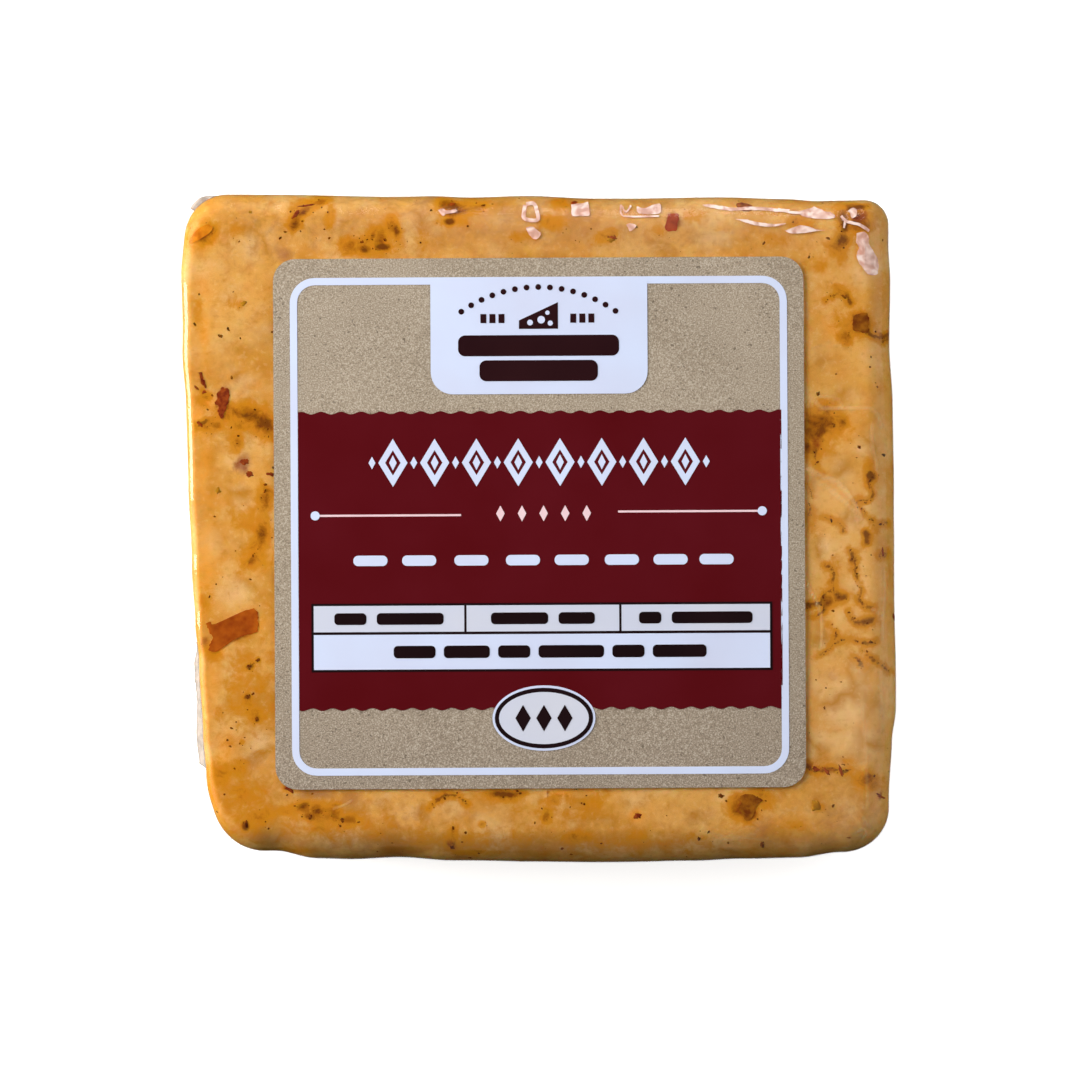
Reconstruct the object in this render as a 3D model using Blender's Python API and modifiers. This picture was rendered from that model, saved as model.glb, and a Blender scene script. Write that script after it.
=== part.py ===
"""A block of spiced cheese, shrink-wrapped in clear film, with a square paper label.

The pack lies on its back. +Z points out of the labelled front, +Y to the pack's upper edge
and +X to its right-hand edge. The origin is on the face that it rests on, under the middle
of the pack's box. Lengths are in metres.
"""

import math

import bmesh
import bpy
from mathutils import Vector, noise

MM = 0.001

# The block: eight ounces, cut from a larger one
BLOCK_WIDTH = 103.4 * MM
BLOCK_HEIGHT = 96.7 * MM
BLOCK_THICKNESS = 22.0 * MM
HALF_WIDTH = BLOCK_WIDTH / 2
HALF_HEIGHT = BLOCK_HEIGHT / 2

# Corner radii seen from the front: the upper corners were cut, the lower ones were cast
CORNER_RADII = {
    (-1, 1): 4.2 * MM,
    (1, 1): 3.9 * MM,
    (-1, -1): 10.2 * MM,
    (1, -1): 7.2 * MM,
}

# How far each side's front edge is rounded over, and the back edge all round
FRONT_RIM_X = {-1: 1.4 * MM, 1: 4.2 * MM}
FRONT_RIM_Y = {-1: 5.5 * MM, 1: 5.0 * MM}
BACK_RIM = 2.8 * MM
RIM_BLEND = 8

# Each side's wander from a straight line: the place along it and how far in it lies there
LEFT_WANDER = (
    (44, 0.8), (36, 0.2), (26, 0.4), (18, 0.9), (6, 1.3), (-5, 1.7), (-14, 2.2), (-19, 2.7), (-30, 3.3),
    (-36, 3.7), (-42, 4.3),
)
RIGHT_WANDER = (
    (42, 1.0), (36, 0.7), (27, 0.9), (18, 0.4), (4, 0.3), (-10, 0.0), (-26, 0.0), (-31, 0.5), (-40, 0.8),
)
TOP_WANDER = (
    (-42, 0.1), (-32, 0.0), (-16, 0.1), (-9, 0.4), (-1, 0.2), (8, 0.4), (20, 0.5), (29, 0.4), (36, 0.5),
    (41, 0.8),
)
BOTTOM_WANDER = (
    (-40, 1.7), (-33, 0.5), (-28, 0.4), (-20, 0.8), (-12, 0.3), (0, 0.0), (14, 0.0), (22, 0.2), (30, 0.5),
    (38, 0.7), (44, 1.4),
)
WANDER_REACH = 3

# The front is a little crowned, and curd lumps stand up under the film
CROWN = 0.5 * MM
BROAD_SWELL = 0.22 * MM
BROAD_SPACING = 24.0 * MM
LUMP_RELIEF = 0.13 * MM
LUMP_SPACING = 6.5 * MM
WALL_RELIEF = 0.28 * MM
# The walls' lumps stand mostly inwards of the drawn sides, by this share of their relief
WALL_DRAW_IN = 0.4

# Rows of faces: close together at the rims, where the form turns
ROWS_WIDE = 38
ROWS_HIGH = 36
ROWS_THICK = 12
ROWS_GATHER = 0.74

# The label: three inches square, stuck on a little above the middle and not quite straight
LABEL_SIDE = 76.2 * MM
LABEL_CORNER = 3.2 * MM
LABEL_THICKNESS = 0.2 * MM
LABEL_CLEARANCE = 0.3 * MM
LABEL_CENTRE = Vector((0.2 * MM, 0.8 * MM))
LABEL_TURN = math.radians(0.3)
LABEL_ROWS = 22
LABEL_STILLNESS = 0.7
STILLNESS_FADE = 2.0 * MM

# The bag's end seal: a tail of film that stands off the lower part of the left wall
TAIL_TOP_END = -12.0 * MM
TAIL_BOTTOM_END = -36.0 * MM
TAIL_ROOT_HEIGHT = 13.0 * MM
TAIL_EDGE_HEIGHT = 10.5 * MM
TAIL_ROOT_DEPTH = 0.8 * MM
TAIL_THICKNESS = 0.35 * MM
TAIL_STATIONS = 24
TAIL_ROWS = 4
# How far the tail's free edge stands off the wall, at each place along the side
TAIL_FLARE = ((-36, 1.35), (-30, 1.45), (-24, 1.2), (-19.5, 1.2), (-17, 0.6), (-12, 0.3))

CHEESE_COLOUR = (0.72, 0.40, 0.13, 1.0)
KRAFT_COLOUR = (0.42, 0.33, 0.25, 1.0)


def clear_scene():
    for item in list(bpy.data.objects):
        bpy.data.objects.remove(item, do_unlink=True)


def new_collection(name):
    made = bpy.data.collections.new(name)
    bpy.context.scene.collection.children.link(made)
    return made


def plain_material(name, colour, roughness):
    """A Principled material of one colour, with no metal in it."""
    material = bpy.data.materials.new(name)
    material.use_nodes = True
    shader = material.node_tree.nodes["Principled BSDF"]
    shader.inputs["Base Color"].default_value = colour
    shader.inputs["Roughness"].default_value = roughness
    shader.inputs["Metallic"].default_value = 0.0
    material.diffuse_color = colour
    return material


def new_object(name, bm, collection, material):
    mesh = bpy.data.meshes.new(name)
    bm.to_mesh(mesh)
    bm.free()
    made = bpy.data.objects.new(name, mesh)
    made.data.materials.append(material)
    collection.objects.link(made)
    return made


def eased(share):
    """0 to 1 with a level start and end."""
    share = min(max(share, 0.0), 1.0)
    return share * share * (3 - 2 * share)


def along_wander(points, place):
    """The value at a place, in metres, of a list of (place, value) pairs in millimetres."""
    here = place / MM
    pairs = sorted(points)
    if here <= pairs[0][0]:
        return pairs[0][1] * MM
    for (start, low), (end, high) in zip(pairs, pairs[1:]):
        if here <= end:
            return (low + (high - low) * eased((here - start) / (end - start))) * MM
    return pairs[-1][1] * MM


def gathered(share):
    """Spreads -1 to 1 so that rows lie closer together towards both ends."""
    quarter = ROWS_GATHER * math.pi / 2
    return math.sin(share * quarter) / math.sin(quarter)


def sign(value):
    return 1 if value >= 0 else -1


def front_rim(x, y):
    """The radius that the front edge is rounded to, blended from side to side at a corner."""
    pull_x = (abs(x) / HALF_WIDTH) ** RIM_BLEND
    pull_y = (abs(y) / HALF_HEIGHT) ** RIM_BLEND
    total = max(pull_x + pull_y, 1e-9)
    return (FRONT_RIM_X[sign(x)] * pull_x + FRONT_RIM_Y[sign(y)] * pull_y) / total


def rounded_corner(x, y, inward):
    """Bends the square corner of a ring that lies inward of the side into its arc."""
    radius = CORNER_RADII[(sign(x), sign(y))]
    centre_x = HALF_WIDTH - radius
    centre_y = HALF_HEIGHT - radius
    out_x = abs(x) - centre_x
    out_y = abs(y) - centre_y
    if inward >= radius or out_x <= 0 or out_y <= 0:
        return x, y
    squeeze = max(out_x, out_y) / math.hypot(out_x, out_y)
    return sign(x) * (centre_x + out_x * squeeze), sign(y) * (centre_y + out_y * squeeze)


def wandered(x, y):
    """Moves a point in with the uneven side that it lies nearest to."""
    reach_x = (abs(x) / HALF_WIDTH) ** WANDER_REACH
    reach_y = (abs(y) / HALF_HEIGHT) ** WANDER_REACH
    side = LEFT_WANDER if x < 0 else RIGHT_WANDER
    end = BOTTOM_WANDER if y < 0 else TOP_WANDER
    return (
        x - sign(x) * reach_x * along_wander(side, y),
        y - sign(y) * reach_y * along_wander(end, x),
    )


def under_label(x, y):
    """1 well under the label and 0 clear of it."""
    past = max(abs(x - LABEL_CENTRE.x), abs(y - LABEL_CENTRE.y)) - LABEL_SIDE / 2
    return 1 - eased(past / STILLNESS_FADE + 0.5)


def lumps(point):
    """Curd lumps as a height from about -1 to 1."""
    return noise.noise(point / LUMP_SPACING)


def front_height(x, y):
    """How high the film lies over the back, on the front face."""
    crown = CROWN * ((x / HALF_WIDTH) ** 2 + (y / HALF_HEIGHT) ** 2) / 2
    swell = BROAD_SWELL * noise.noise(Vector((x, y, 0.0)) / BROAD_SPACING)
    relief = LUMP_RELIEF * lumps(Vector((x, y, BLOCK_THICKNESS)))
    still = 1 - LABEL_STILLNESS * under_label(x, y)
    return BLOCK_THICKNESS - BROAD_SWELL - crown + (swell + relief) * still


def block_point(share):
    """Takes a point on the cube from -1 to 1 to its place on the wrapped block."""
    x = HALF_WIDTH * gathered(share.x)
    y = HALF_HEIGHT * gathered(share.y)
    z = BLOCK_THICKNESS * (1 + gathered(share.z)) / 2
    inward = min(HALF_WIDTH - abs(x), HALF_HEIGHT - abs(y))
    at_front = z > BLOCK_THICKNESS / 2
    rim = front_rim(x, y) if at_front else BACK_RIM
    below = BLOCK_THICKNESS - z if at_front else z
    if inward < rim and below < rim:
        out = (rim - inward) / rim
        up = (rim - below) / rim
        reach = math.hypot(out, up)
        rounded_in = rim * (1 - out / reach)
        below = rim * (1 - up / reach)
        x *= (HALF_WIDTH - rounded_in) / (HALF_WIDTH - inward)
        y *= (HALF_HEIGHT - rounded_in) / (HALF_HEIGHT - inward)
        inward = rounded_in
        z = BLOCK_THICKNESS - below if at_front else below
    x, y = rounded_corner(x, y, inward)
    x, y = wandered(x, y)
    swell = WALL_RELIEF * (lumps(Vector((x, y, z)) / 2) - WALL_DRAW_IN)
    x += swell * sign(x) * (abs(x) / HALF_WIDTH) ** RIM_BLEND
    y += swell * sign(y) * (abs(y) / HALF_HEIGHT) ** RIM_BLEND
    return Vector((x, y, z * front_height(x, y) / BLOCK_THICKNESS))


def runs_along(edge, axis):
    step = edge.verts[1].co - edge.verts[0].co
    return abs(step[axis]) > 0.5 * step.length


def cut_rows(bm, axis, rows):
    """Cuts every edge that runs along one axis into this many even rows."""
    edges = [edge for edge in bm.edges if runs_along(edge, axis)]
    bmesh.ops.subdivide_edges(bm, edges=edges, cuts=rows - 1, use_grid_fill=True)


def wrapped_block():
    """The block in its film, without the seal's tail."""
    bm = bmesh.new()
    bmesh.ops.create_cube(bm, size=2.0)
    for axis, rows in ((2, ROWS_THICK), (0, ROWS_WIDE), (1, ROWS_HIGH)):
        cut_rows(bm, axis, rows)
    for vertex in bm.verts:
        vertex.co = block_point(vertex.co)
    return bm


def left_wall(y, height):
    """The wrapped block's surface on its left side at a place along it and a height."""
    share_y = math.asin(max(-1.0, min(1.0, y / HALF_HEIGHT)) * math.sin(ROWS_GATHER * math.pi / 2))
    share_z = math.asin((2 * height / BLOCK_THICKNESS - 1) * math.sin(ROWS_GATHER * math.pi / 2))
    quarter = ROWS_GATHER * math.pi / 2
    return block_point(Vector((-1.0, share_y / quarter, share_z / quarter)))


def seal_tail():
    """The bag's sealed end: a strip that leaves the left wall and leans off it to a free edge."""
    bm = bmesh.new()
    bmesh.ops.create_grid(bm, x_segments=TAIL_STATIONS, y_segments=TAIL_ROWS, size=1.0)
    for vertex in bm.verts:
        along = (vertex.co.x + 1) / 2
        down = (vertex.co.y + 1) / 2
        y = TAIL_BOTTOM_END + (TAIL_TOP_END - TAIL_BOTTOM_END) * along
        height = TAIL_ROOT_HEIGHT + (TAIL_EDGE_HEIGHT - TAIL_ROOT_HEIGHT) * down
        wall = left_wall(y, height)
        stand_off = -TAIL_ROOT_DEPTH + (TAIL_ROOT_DEPTH + along_wander(TAIL_FLARE, y)) * down
        vertex.co = wall - Vector((stand_off, 0.0, 0.0))
    return bm


def fuse(base, addition):
    """Joins a second solid to the base with a Boolean union, applies it and drops the second."""
    union = base.modifiers.new("Fuse", "BOOLEAN")
    union.operation = "UNION"
    union.solver = "EXACT"
    union.object = addition
    graph = bpy.context.evaluated_depsgraph_get()
    joined = bpy.data.meshes.new_from_object(base.evaluated_get(graph))
    base.modifiers.clear()
    base.data = joined
    bpy.data.objects.remove(addition, do_unlink=True)


def label_sheet():
    """The label as one open sheet that follows the film, with rounded corners."""
    bm = bmesh.new()
    bmesh.ops.create_grid(bm, x_segments=LABEL_ROWS, y_segments=LABEL_ROWS, size=1.0)
    half = LABEL_SIDE / 2
    flat = half - LABEL_CORNER
    turn = Vector((math.cos(LABEL_TURN), math.sin(LABEL_TURN)))
    for vertex in bm.verts:
        x, y = half * gathered(vertex.co.x), half * gathered(vertex.co.y)
        out_x, out_y = abs(x) - flat, abs(y) - flat
        if out_x > 0 and out_y > 0:
            squeeze = max(out_x, out_y) / math.hypot(out_x, out_y)
            x = sign(x) * (flat + out_x * squeeze)
            y = sign(y) * (flat + out_y * squeeze)
        place_x = LABEL_CENTRE.x + x * turn.x - y * turn.y
        place_y = LABEL_CENTRE.y + x * turn.y + y * turn.x
        vertex.co = (place_x, place_y, front_height(place_x, place_y) + LABEL_CLEARANCE)
    return bm


def thicken(item, thickness, offset):
    """Gives an open sheet its wall; offset 1 grows it along its normals and 0 both ways."""
    wall = item.modifiers.new("Wall", "SOLIDIFY")
    wall.thickness = thickness
    wall.offset = offset
    wall.use_even_offset = False


def shade_round(item, angle):
    item.data.shade_smooth()
    item.data.set_sharp_from_angle(angle=math.radians(angle))


def main():
    clear_scene()
    pack = new_collection("cheese_pack")
    wrapped_look = plain_material("wrapped_cheese", CHEESE_COLOUR, 0.18)
    kraft_look = plain_material("kraft_label", KRAFT_COLOUR, 0.75)
    block = new_object("sealed_pack", wrapped_block(), pack, wrapped_look)
    tail = new_object("seal_tail", seal_tail(), pack, wrapped_look)
    thicken(tail, TAIL_THICKNESS, 0.0)
    fuse(block, tail)
    shade_round(block, 40)
    label = new_object("label", label_sheet(), pack, kraft_look)
    thicken(label, LABEL_THICKNESS, 1.0)
    shade_round(label, 40)


main()
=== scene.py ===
# %% [markdown]
# # A shrink-wrapped block of spiced cheese
#
# The object is one square block of golden cheese, full of chili, pepper and ground spice, in a
# tight clear film, with a square kraft paper label stuck on its front. The pack lies on its
# back and the camera looks straight down on the label. The frame that is loaded first holds
# the block and the label as plain solids at their real size. This script puts the real looks
# in their place: cheese, film, spices, paper and print.

# %% Load the frame and note its box
import math
import random

import bmesh
import bpy
import numpy as np
from mathutils import Matrix, Vector, noise
from mathutils.bvhtree import BVHTree


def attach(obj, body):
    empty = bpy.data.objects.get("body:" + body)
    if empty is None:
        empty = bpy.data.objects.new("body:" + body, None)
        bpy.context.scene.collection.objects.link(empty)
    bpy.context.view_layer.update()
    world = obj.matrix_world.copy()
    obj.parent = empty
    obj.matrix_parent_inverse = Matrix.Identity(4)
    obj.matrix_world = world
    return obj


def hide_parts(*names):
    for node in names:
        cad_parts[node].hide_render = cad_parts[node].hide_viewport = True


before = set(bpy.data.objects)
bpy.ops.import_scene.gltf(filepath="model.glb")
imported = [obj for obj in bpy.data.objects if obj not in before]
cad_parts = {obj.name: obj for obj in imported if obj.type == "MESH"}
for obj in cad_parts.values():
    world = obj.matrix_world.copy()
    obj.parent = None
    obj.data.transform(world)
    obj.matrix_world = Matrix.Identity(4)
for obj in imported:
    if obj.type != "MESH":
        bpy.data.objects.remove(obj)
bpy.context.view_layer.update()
MM = 0.001
BODY = "root"

# %% [markdown]
# ## The form of the block
#
# A block cut from a larger cheese and then shrunk tight in film has rounded rims, corners of
# different radii and sides that wander by a millimetre or two. One function bends a cube into
# that form. It is the same form as the solid's, from the same sizes, so that everything made
# here fits the frame. It works on whole arrays of points, because the finished surfaces have
# many more points than the solid.

# %% Sizes of the block, as in the solid
HALF_WIDTH = 51.7 * MM
HALF_HEIGHT = 48.35 * MM
THICKNESS = 22.0 * MM
# The solid's upper left corner takes in an ear of film, which is a piece of its own here
CORNER_RADII = {(-1, 1): 6.4 * MM, (1, 1): 3.9 * MM, (-1, -1): 10.2 * MM, (1, -1): 7.2 * MM}
FRONT_RIM_X = {-1: 1.4 * MM, 1: 4.2 * MM}
FRONT_RIM_Y = {-1: 5.5 * MM, 1: 5.0 * MM}
BACK_RIM = 2.8 * MM
RIM_BLEND = 8
ROWS_GATHER = 0.74
QUARTER = ROWS_GATHER * math.pi / 2

# Each side's wander from a straight line: the place along it and how far in it lies there, in mm
LEFT_WANDER = (
    (-42, 4.3), (-36, 3.7), (-30, 3.3), (-19, 2.7), (-14, 2.2), (-5, 1.7), (6, 1.3), (18, 0.9), (26, 0.4),
    (36, 0.2), (44, 0.8),
)
RIGHT_WANDER = (
    (-40, 0.8), (-31, 0.5), (-26, 0.0), (-10, 0.0), (4, 0.3), (18, 0.4), (27, 0.9), (36, 0.7), (42, 1.0),
)
TOP_WANDER = (
    (-42, 0.1), (-32, 0.0), (-16, 0.1), (-9, 0.4), (-1, 0.2), (8, 0.4), (20, 0.5), (29, 0.4), (36, 0.5),
    (41, 0.8),
)
BOTTOM_WANDER = (
    (-40, 1.7), (-33, 0.5), (-28, 0.4), (-20, 0.8), (-12, 0.3), (0, 0.0), (14, 0.0), (22, 0.2), (30, 0.5),
    (38, 0.7), (44, 1.4),
)
WANDER_REACH = 3
CROWN = 0.5 * MM
BROAD_SWELL = 0.22 * MM
BROAD_SPACING = 24.0 * MM
LUMP_RELIEF = 0.13 * MM
LUMP_SPACING = 6.5 * MM
WALL_RELIEF = 0.28 * MM
WALL_DRAW_IN = 0.4

LABEL_SIDE = 76.2 * MM
LABEL_CORNER = 3.2 * MM
LABEL_CENTRE = (0.2 * MM, 0.8 * MM)
LABEL_TURN = math.radians(0.3)
LABEL_STILLNESS = 0.7
STILLNESS_FADE = 2.0 * MM


# %% Functions that bend a cube into the block
def eased(share):
    """0 to 1 with a level start and end."""
    share = np.clip(share, 0, 1)
    return share * share * (3 - 2 * share)


def along(points, places):
    """Values in metres at places along a list of (place, value) pairs in millimetres."""
    stops, values = np.array(points, float).T * MM
    step = np.clip(np.searchsorted(stops, places) - 1, 0, len(stops) - 2)
    share = (places - stops[step]) / (stops[step + 1] - stops[step])
    return values[step] + (values[step + 1] - values[step]) * eased(share)


def noise_at(points, spacing, seed=0.0):
    """Smooth noise from about -1 to 1 at each point, with bumps of this spacing."""
    return np.array([noise.noise(Vector(p)) for p in (np.asarray(points) / spacing + seed).tolist()])


def side_of(values):
    return np.where(values >= 0, 1, -1)


def picked(x, pair):
    """One of a pair of values, for the negative and the positive side."""
    return np.where(x >= 0, pair[1], pair[-1])


def front_height(x, y):
    """How high the film lies over the back, on the front face."""
    crown = CROWN * ((x / HALF_WIDTH) ** 2 + (y / HALF_HEIGHT) ** 2) / 2
    swell = BROAD_SWELL * noise_at(np.stack([x, y, x * 0], 1), BROAD_SPACING)
    relief = LUMP_RELIEF * noise_at(np.stack([x, y, x * 0 + THICKNESS], 1), LUMP_SPACING)
    past = np.maximum(abs(x - LABEL_CENTRE[0]), abs(y - LABEL_CENTRE[1])) - LABEL_SIDE / 2
    still = 1 - LABEL_STILLNESS * (1 - eased(past / STILLNESS_FADE + 0.5))
    return THICKNESS - BROAD_SWELL - crown + (swell + relief) * still


def block_form(cube):
    """Takes points on the cube from -1 to 1 to their places on the wrapped block."""
    x, y, z = (np.sin(axis * QUARTER) / math.sin(QUARTER) for axis in cube.T)
    x, y, z = x * HALF_WIDTH, y * HALF_HEIGHT, THICKNESS * (1 + z) / 2
    inward = np.minimum(HALF_WIDTH - abs(x), HALF_HEIGHT - abs(y))
    at_front = z > THICKNESS / 2
    pull_x, pull_y = (abs(x) / HALF_WIDTH) ** RIM_BLEND, (abs(y) / HALF_HEIGHT) ** RIM_BLEND
    rim = picked(x, FRONT_RIM_X) * pull_x + picked(y, FRONT_RIM_Y) * pull_y
    rim = rim / np.maximum(pull_x + pull_y, 1e-9)
    rim = np.where(at_front, rim, BACK_RIM)
    below = np.where(at_front, THICKNESS - z, z)
    out, up = (rim - inward) / rim, (rim - below) / rim
    turns = (out > 0) & (up > 0)
    reach = np.where(turns, np.hypot(out, up), 1)
    rounded_in = np.where(turns, rim * (1 - out / reach), inward)
    below = np.where(turns, rim * (1 - up / reach), below)
    x = x * (HALF_WIDTH - rounded_in) / np.maximum(HALF_WIDTH - inward, 1e-9)
    y = y * (HALF_HEIGHT - rounded_in) / np.maximum(HALF_HEIGHT - inward, 1e-9)
    z = np.where(at_front, THICKNESS - below, below)
    radius = np.choose(
        (x >= 0) * 2 + (y >= 0),
        [CORNER_RADII[key] for key in ((-1, -1), (-1, 1), (1, -1), (1, 1))],
    )
    out_x, out_y = abs(x) - (HALF_WIDTH - radius), abs(y) - (HALF_HEIGHT - radius)
    corner = (rounded_in < radius) & (out_x > 0) & (out_y > 0)
    squeeze = np.where(corner, np.maximum(out_x, out_y) / np.maximum(np.hypot(out_x, out_y), 1e-9), 1)
    x = np.where(corner, side_of(x) * (HALF_WIDTH - radius + out_x * squeeze), x)
    y = np.where(corner, side_of(y) * (HALF_HEIGHT - radius + out_y * squeeze), y)
    side = np.where(x < 0, along(LEFT_WANDER, y), along(RIGHT_WANDER, y))
    end = np.where(y < 0, along(BOTTOM_WANDER, x), along(TOP_WANDER, x))
    reach_x, reach_y = (abs(x) / HALF_WIDTH) ** WANDER_REACH, (abs(y) / HALF_HEIGHT) ** WANDER_REACH
    x, y = x - side_of(x) * reach_x * side, y - side_of(y) * reach_y * end
    swell = WALL_RELIEF * (noise_at(np.stack([x, y, z], 1), 2 * LUMP_SPACING) - WALL_DRAW_IN)
    x = x + swell * side_of(x) * (abs(x) / HALF_WIDTH) ** RIM_BLEND
    y = y + swell * side_of(y) * (abs(y) / HALF_HEIGHT) ** RIM_BLEND
    return np.stack([x, y, z * front_height(x, y) / THICKNESS], 1)


# %% [markdown]
# ## Helpers for meshes and for the photograph's places
#
# A piece starts as a bmesh, becomes a mesh, and its points are then read and written as one
# array. The marks in the cheese are listed at places in the photograph, so one function turns
# a place in the picture, in its own pixels, into a place on the front of the pack. The scale
# comes from the label, which is three inches wide.

# %% Small helpers
PIXEL = 0.1437 * MM
PICTURE_MIDDLE = (538.0, 528.7)
# Above this share of the half thickness, a wall's faces show on the rim from the front
RIM_VIEW = 0.45


def from_photo(px, py):
    """A place on the front, in metres, from a place in the photograph in its pixels."""
    return (px - PICTURE_MIDDLE[0]) * PIXEL, (PICTURE_MIDDLE[1] - py) * PIXEL


def new_piece(name, bm, material, smooth=True):
    """Makes the bmesh a piece that rides on the pack."""
    mesh = bpy.data.meshes.new(name)
    bm.to_mesh(mesh)
    bm.free()
    if smooth:
        mesh.shade_smooth()
    piece = bpy.data.objects.new(name, mesh)
    bpy.context.scene.collection.objects.link(piece)
    piece.data.materials.append(material)
    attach(piece, BODY)
    return piece


def points_of(mesh, field="co"):
    """The mesh's points, or their normals, as an array with a row for each."""
    values = np.empty(len(mesh.vertices) * 3, np.float32)
    source = mesh.vertices if field == "co" else mesh.vertex_normals
    source.foreach_get("co" if field == "co" else "vector", values)
    return values.reshape(-1, 3).astype(float)


def set_points(mesh, points):
    mesh.vertices.foreach_set("co", points.astype(np.float32).ravel())
    mesh.update()


def solidify(piece, thickness, offset=1.0):
    wall = piece.modifiers.new("Wall", "SOLIDIFY")
    wall.thickness = thickness
    wall.offset = offset
    return piece


def linear(code):
    """A linear colour from an sRGB hex value such as "E0A04E"."""
    shares = [int(code[i : i + 2], 16) / 255 for i in (0, 2, 4)]
    return tuple(s / 12.92 if s <= 0.04045 else ((s + 0.055) / 1.055) ** 2.4 for s in shares) + (1.0,)


def add_node(tree, kind, inputs=None, **settings):
    """Adds a node, sets its properties, and sets or links its inputs."""
    node = tree.nodes.new(kind)
    for name, value in settings.items():
        setattr(node, name, value)
    for name, value in (inputs or {}).items():
        if isinstance(value, bpy.types.NodeSocket):
            tree.links.new(value, node.inputs[name])
        else:
            node.inputs[name].default_value = value
    return node


def new_material(name):
    """An empty node material and its tree, with the output node in it."""
    material = bpy.data.materials.new(name)
    material.use_nodes = True
    material.node_tree.nodes.clear()
    return material, material.node_tree


def grain(millimetres):
    """A noise or cell scale whose features are about this many millimetres apart."""
    return 1 / (millimetres * MM)


def blend_colour(tree, below, above, share, strength=1.0):
    """One colour laid over another by a share and a strength."""
    scaled = add_node(tree, "ShaderNodeMath", {0: share, 1: strength}, operation="MULTIPLY")
    mix = add_node(tree, "ShaderNodeMix", {"Factor": scaled.outputs[0]}, data_type="RGBA")
    for socket, value in (("A_Color", below), ("B_Color", above)):
        target = next(s for s in mix.inputs if s.identifier == socket)
        if isinstance(value, bpy.types.NodeSocket):
            tree.links.new(value, target)
        else:
            target.default_value = value
    return next(s for s in mix.outputs if s.identifier == "Result_Color")


def stretched(tree, source, low, high):
    """A value stretched from low..high to 0..1."""
    stretch = add_node(tree, "ShaderNodeMapRange", {"Value": source, "From Min": low, "From Max": high})
    return stretch.outputs["Result"]


def layered(tree, ground, layers):
    """A colour with others laid over it in turn: each a hex value, a share and a strength."""
    for code, share, strength in layers:
        ground = blend_colour(tree, ground, linear(code), share, strength)
    return ground


def store_values(mesh, name, values):
    """Keeps a value, or a colour of four, at each point of a mesh for its material to read."""
    kind, field = ("FLOAT_COLOR", "color") if values.ndim > 1 else ("FLOAT", "value")
    attribute = mesh.attributes.new(name, kind, "POINT")
    attribute.data.foreach_set(field, values.astype(np.float32).ravel())


def in_plain_view(face):
    """Whether a face of the cube is on the front outside the label, or on the front's rim."""
    middle = face.calc_center_median()
    x, y = (math.sin(share * QUARTER) / math.sin(QUARTER) for share in middle[:2])
    from_label = max(
        abs(x * HALF_WIDTH - LABEL_CENTRE[0]), abs(y * HALF_HEIGHT - LABEL_CENTRE[1]),
    ) - LABEL_SIDE / 2
    return middle.z > RIM_VIEW and from_label > -1 * MM


def block_bmesh(wide, high, thick, finer=0):
    """A cube from -1 to 1 cut into even rows, ready to be bent; what the camera sees is cut finer."""
    bm = bmesh.new()
    bmesh.ops.create_cube(bm, size=2.0)
    for axis, rows in ((2, thick), (0, wide), (1, high)):
        along_axis = [
            edge for edge in bm.edges
            if abs(edge.verts[1].co[axis] - edge.verts[0].co[axis]) > 0.5 * edge.calc_length()
        ]
        bmesh.ops.subdivide_edges(bm, edges=along_axis, cuts=rows - 1, use_grid_fill=True)
    if finer:
        bare = {edge for face in bm.faces if in_plain_view(face) for edge in face.edges}
        bmesh.ops.subdivide_edges(bm, edges=list(bare), cuts=finer, use_grid_fill=True)
    return bm


# %% [markdown]
# ## Camera, floor and light
#
# The photograph looks straight down on the label from a fair distance, so the sides of the
# block don't show. A long lens from 0.86 m gives that view. The floor is bright white, and it
# is kept out of the film's reflections, because the real rims are dark where they turn away.
# The film mirrors whatever lies low around the pack, and its rims tell what that was: a tall
# soft light at the left, which draws the cream line down that side, a window of narrow panes
# beyond the top, pale walls beyond the top and the sides, and nothing bright at the near side.

# %% Camera
LENS = 200.0
SENSOR = 36.0
CAMERA_HEIGHT = 861.2 * MM
CAMERA_AIM = (0.28 * MM, -1.63 * MM)
LABEL_PLANE = 22.3 * MM

camera_data = bpy.data.cameras.new("camera")
camera_data.lens = LENS
camera_data.sensor_width = SENSOR
camera = bpy.data.objects.new("camera", camera_data)
camera.location = (*CAMERA_AIM, LABEL_PLANE + CAMERA_HEIGHT)
bpy.context.scene.collection.objects.link(camera)
bpy.context.scene.camera = camera

# %% Floor
floor_look, tree = new_material("white_studio_floor")
paint = add_node(tree, "ShaderNodeBsdfPrincipled", {
    "Base Color": linear("F2F2F2"), "Roughness": 0.9,
    "Emission Color": linear("FFFFFF"), "Emission Strength": 0.75,
})
add_node(tree, "ShaderNodeOutputMaterial", {"Surface": paint.outputs[0]})
bm = bmesh.new()
bmesh.ops.create_grid(bm, x_segments=1, y_segments=1, size=6.0)
mesh = bpy.data.meshes.new("floor")
bm.to_mesh(mesh)
bm.free()
floor = bpy.data.objects.new("floor", mesh)
floor.data.materials.append(floor_look)
bpy.context.scene.collection.objects.link(floor)
floor.location.z = -0.02 * MM
floor.visible_glossy = False
floor.visible_diffuse = False
floor.visible_transmission = False


# %% Lights
def soft_light(name, place, size, radiance, colour):
    """A rectangular light that faces the pack; radiance is how bright its face looks."""
    data = bpy.data.lights.new(name, "AREA")
    data.shape = "RECTANGLE"
    data.size, data.size_y = size
    data.energy = radiance * math.pi * size[0] * size[1]
    data.color = colour
    light = bpy.data.objects.new(name, data)
    light.location = place
    light.rotation_euler = (Vector((0, 0, 0.01)) - Vector(place)).to_track_quat("-Z", "Y").to_euler()
    bpy.context.scene.collection.objects.link(light)
    return light


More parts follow.
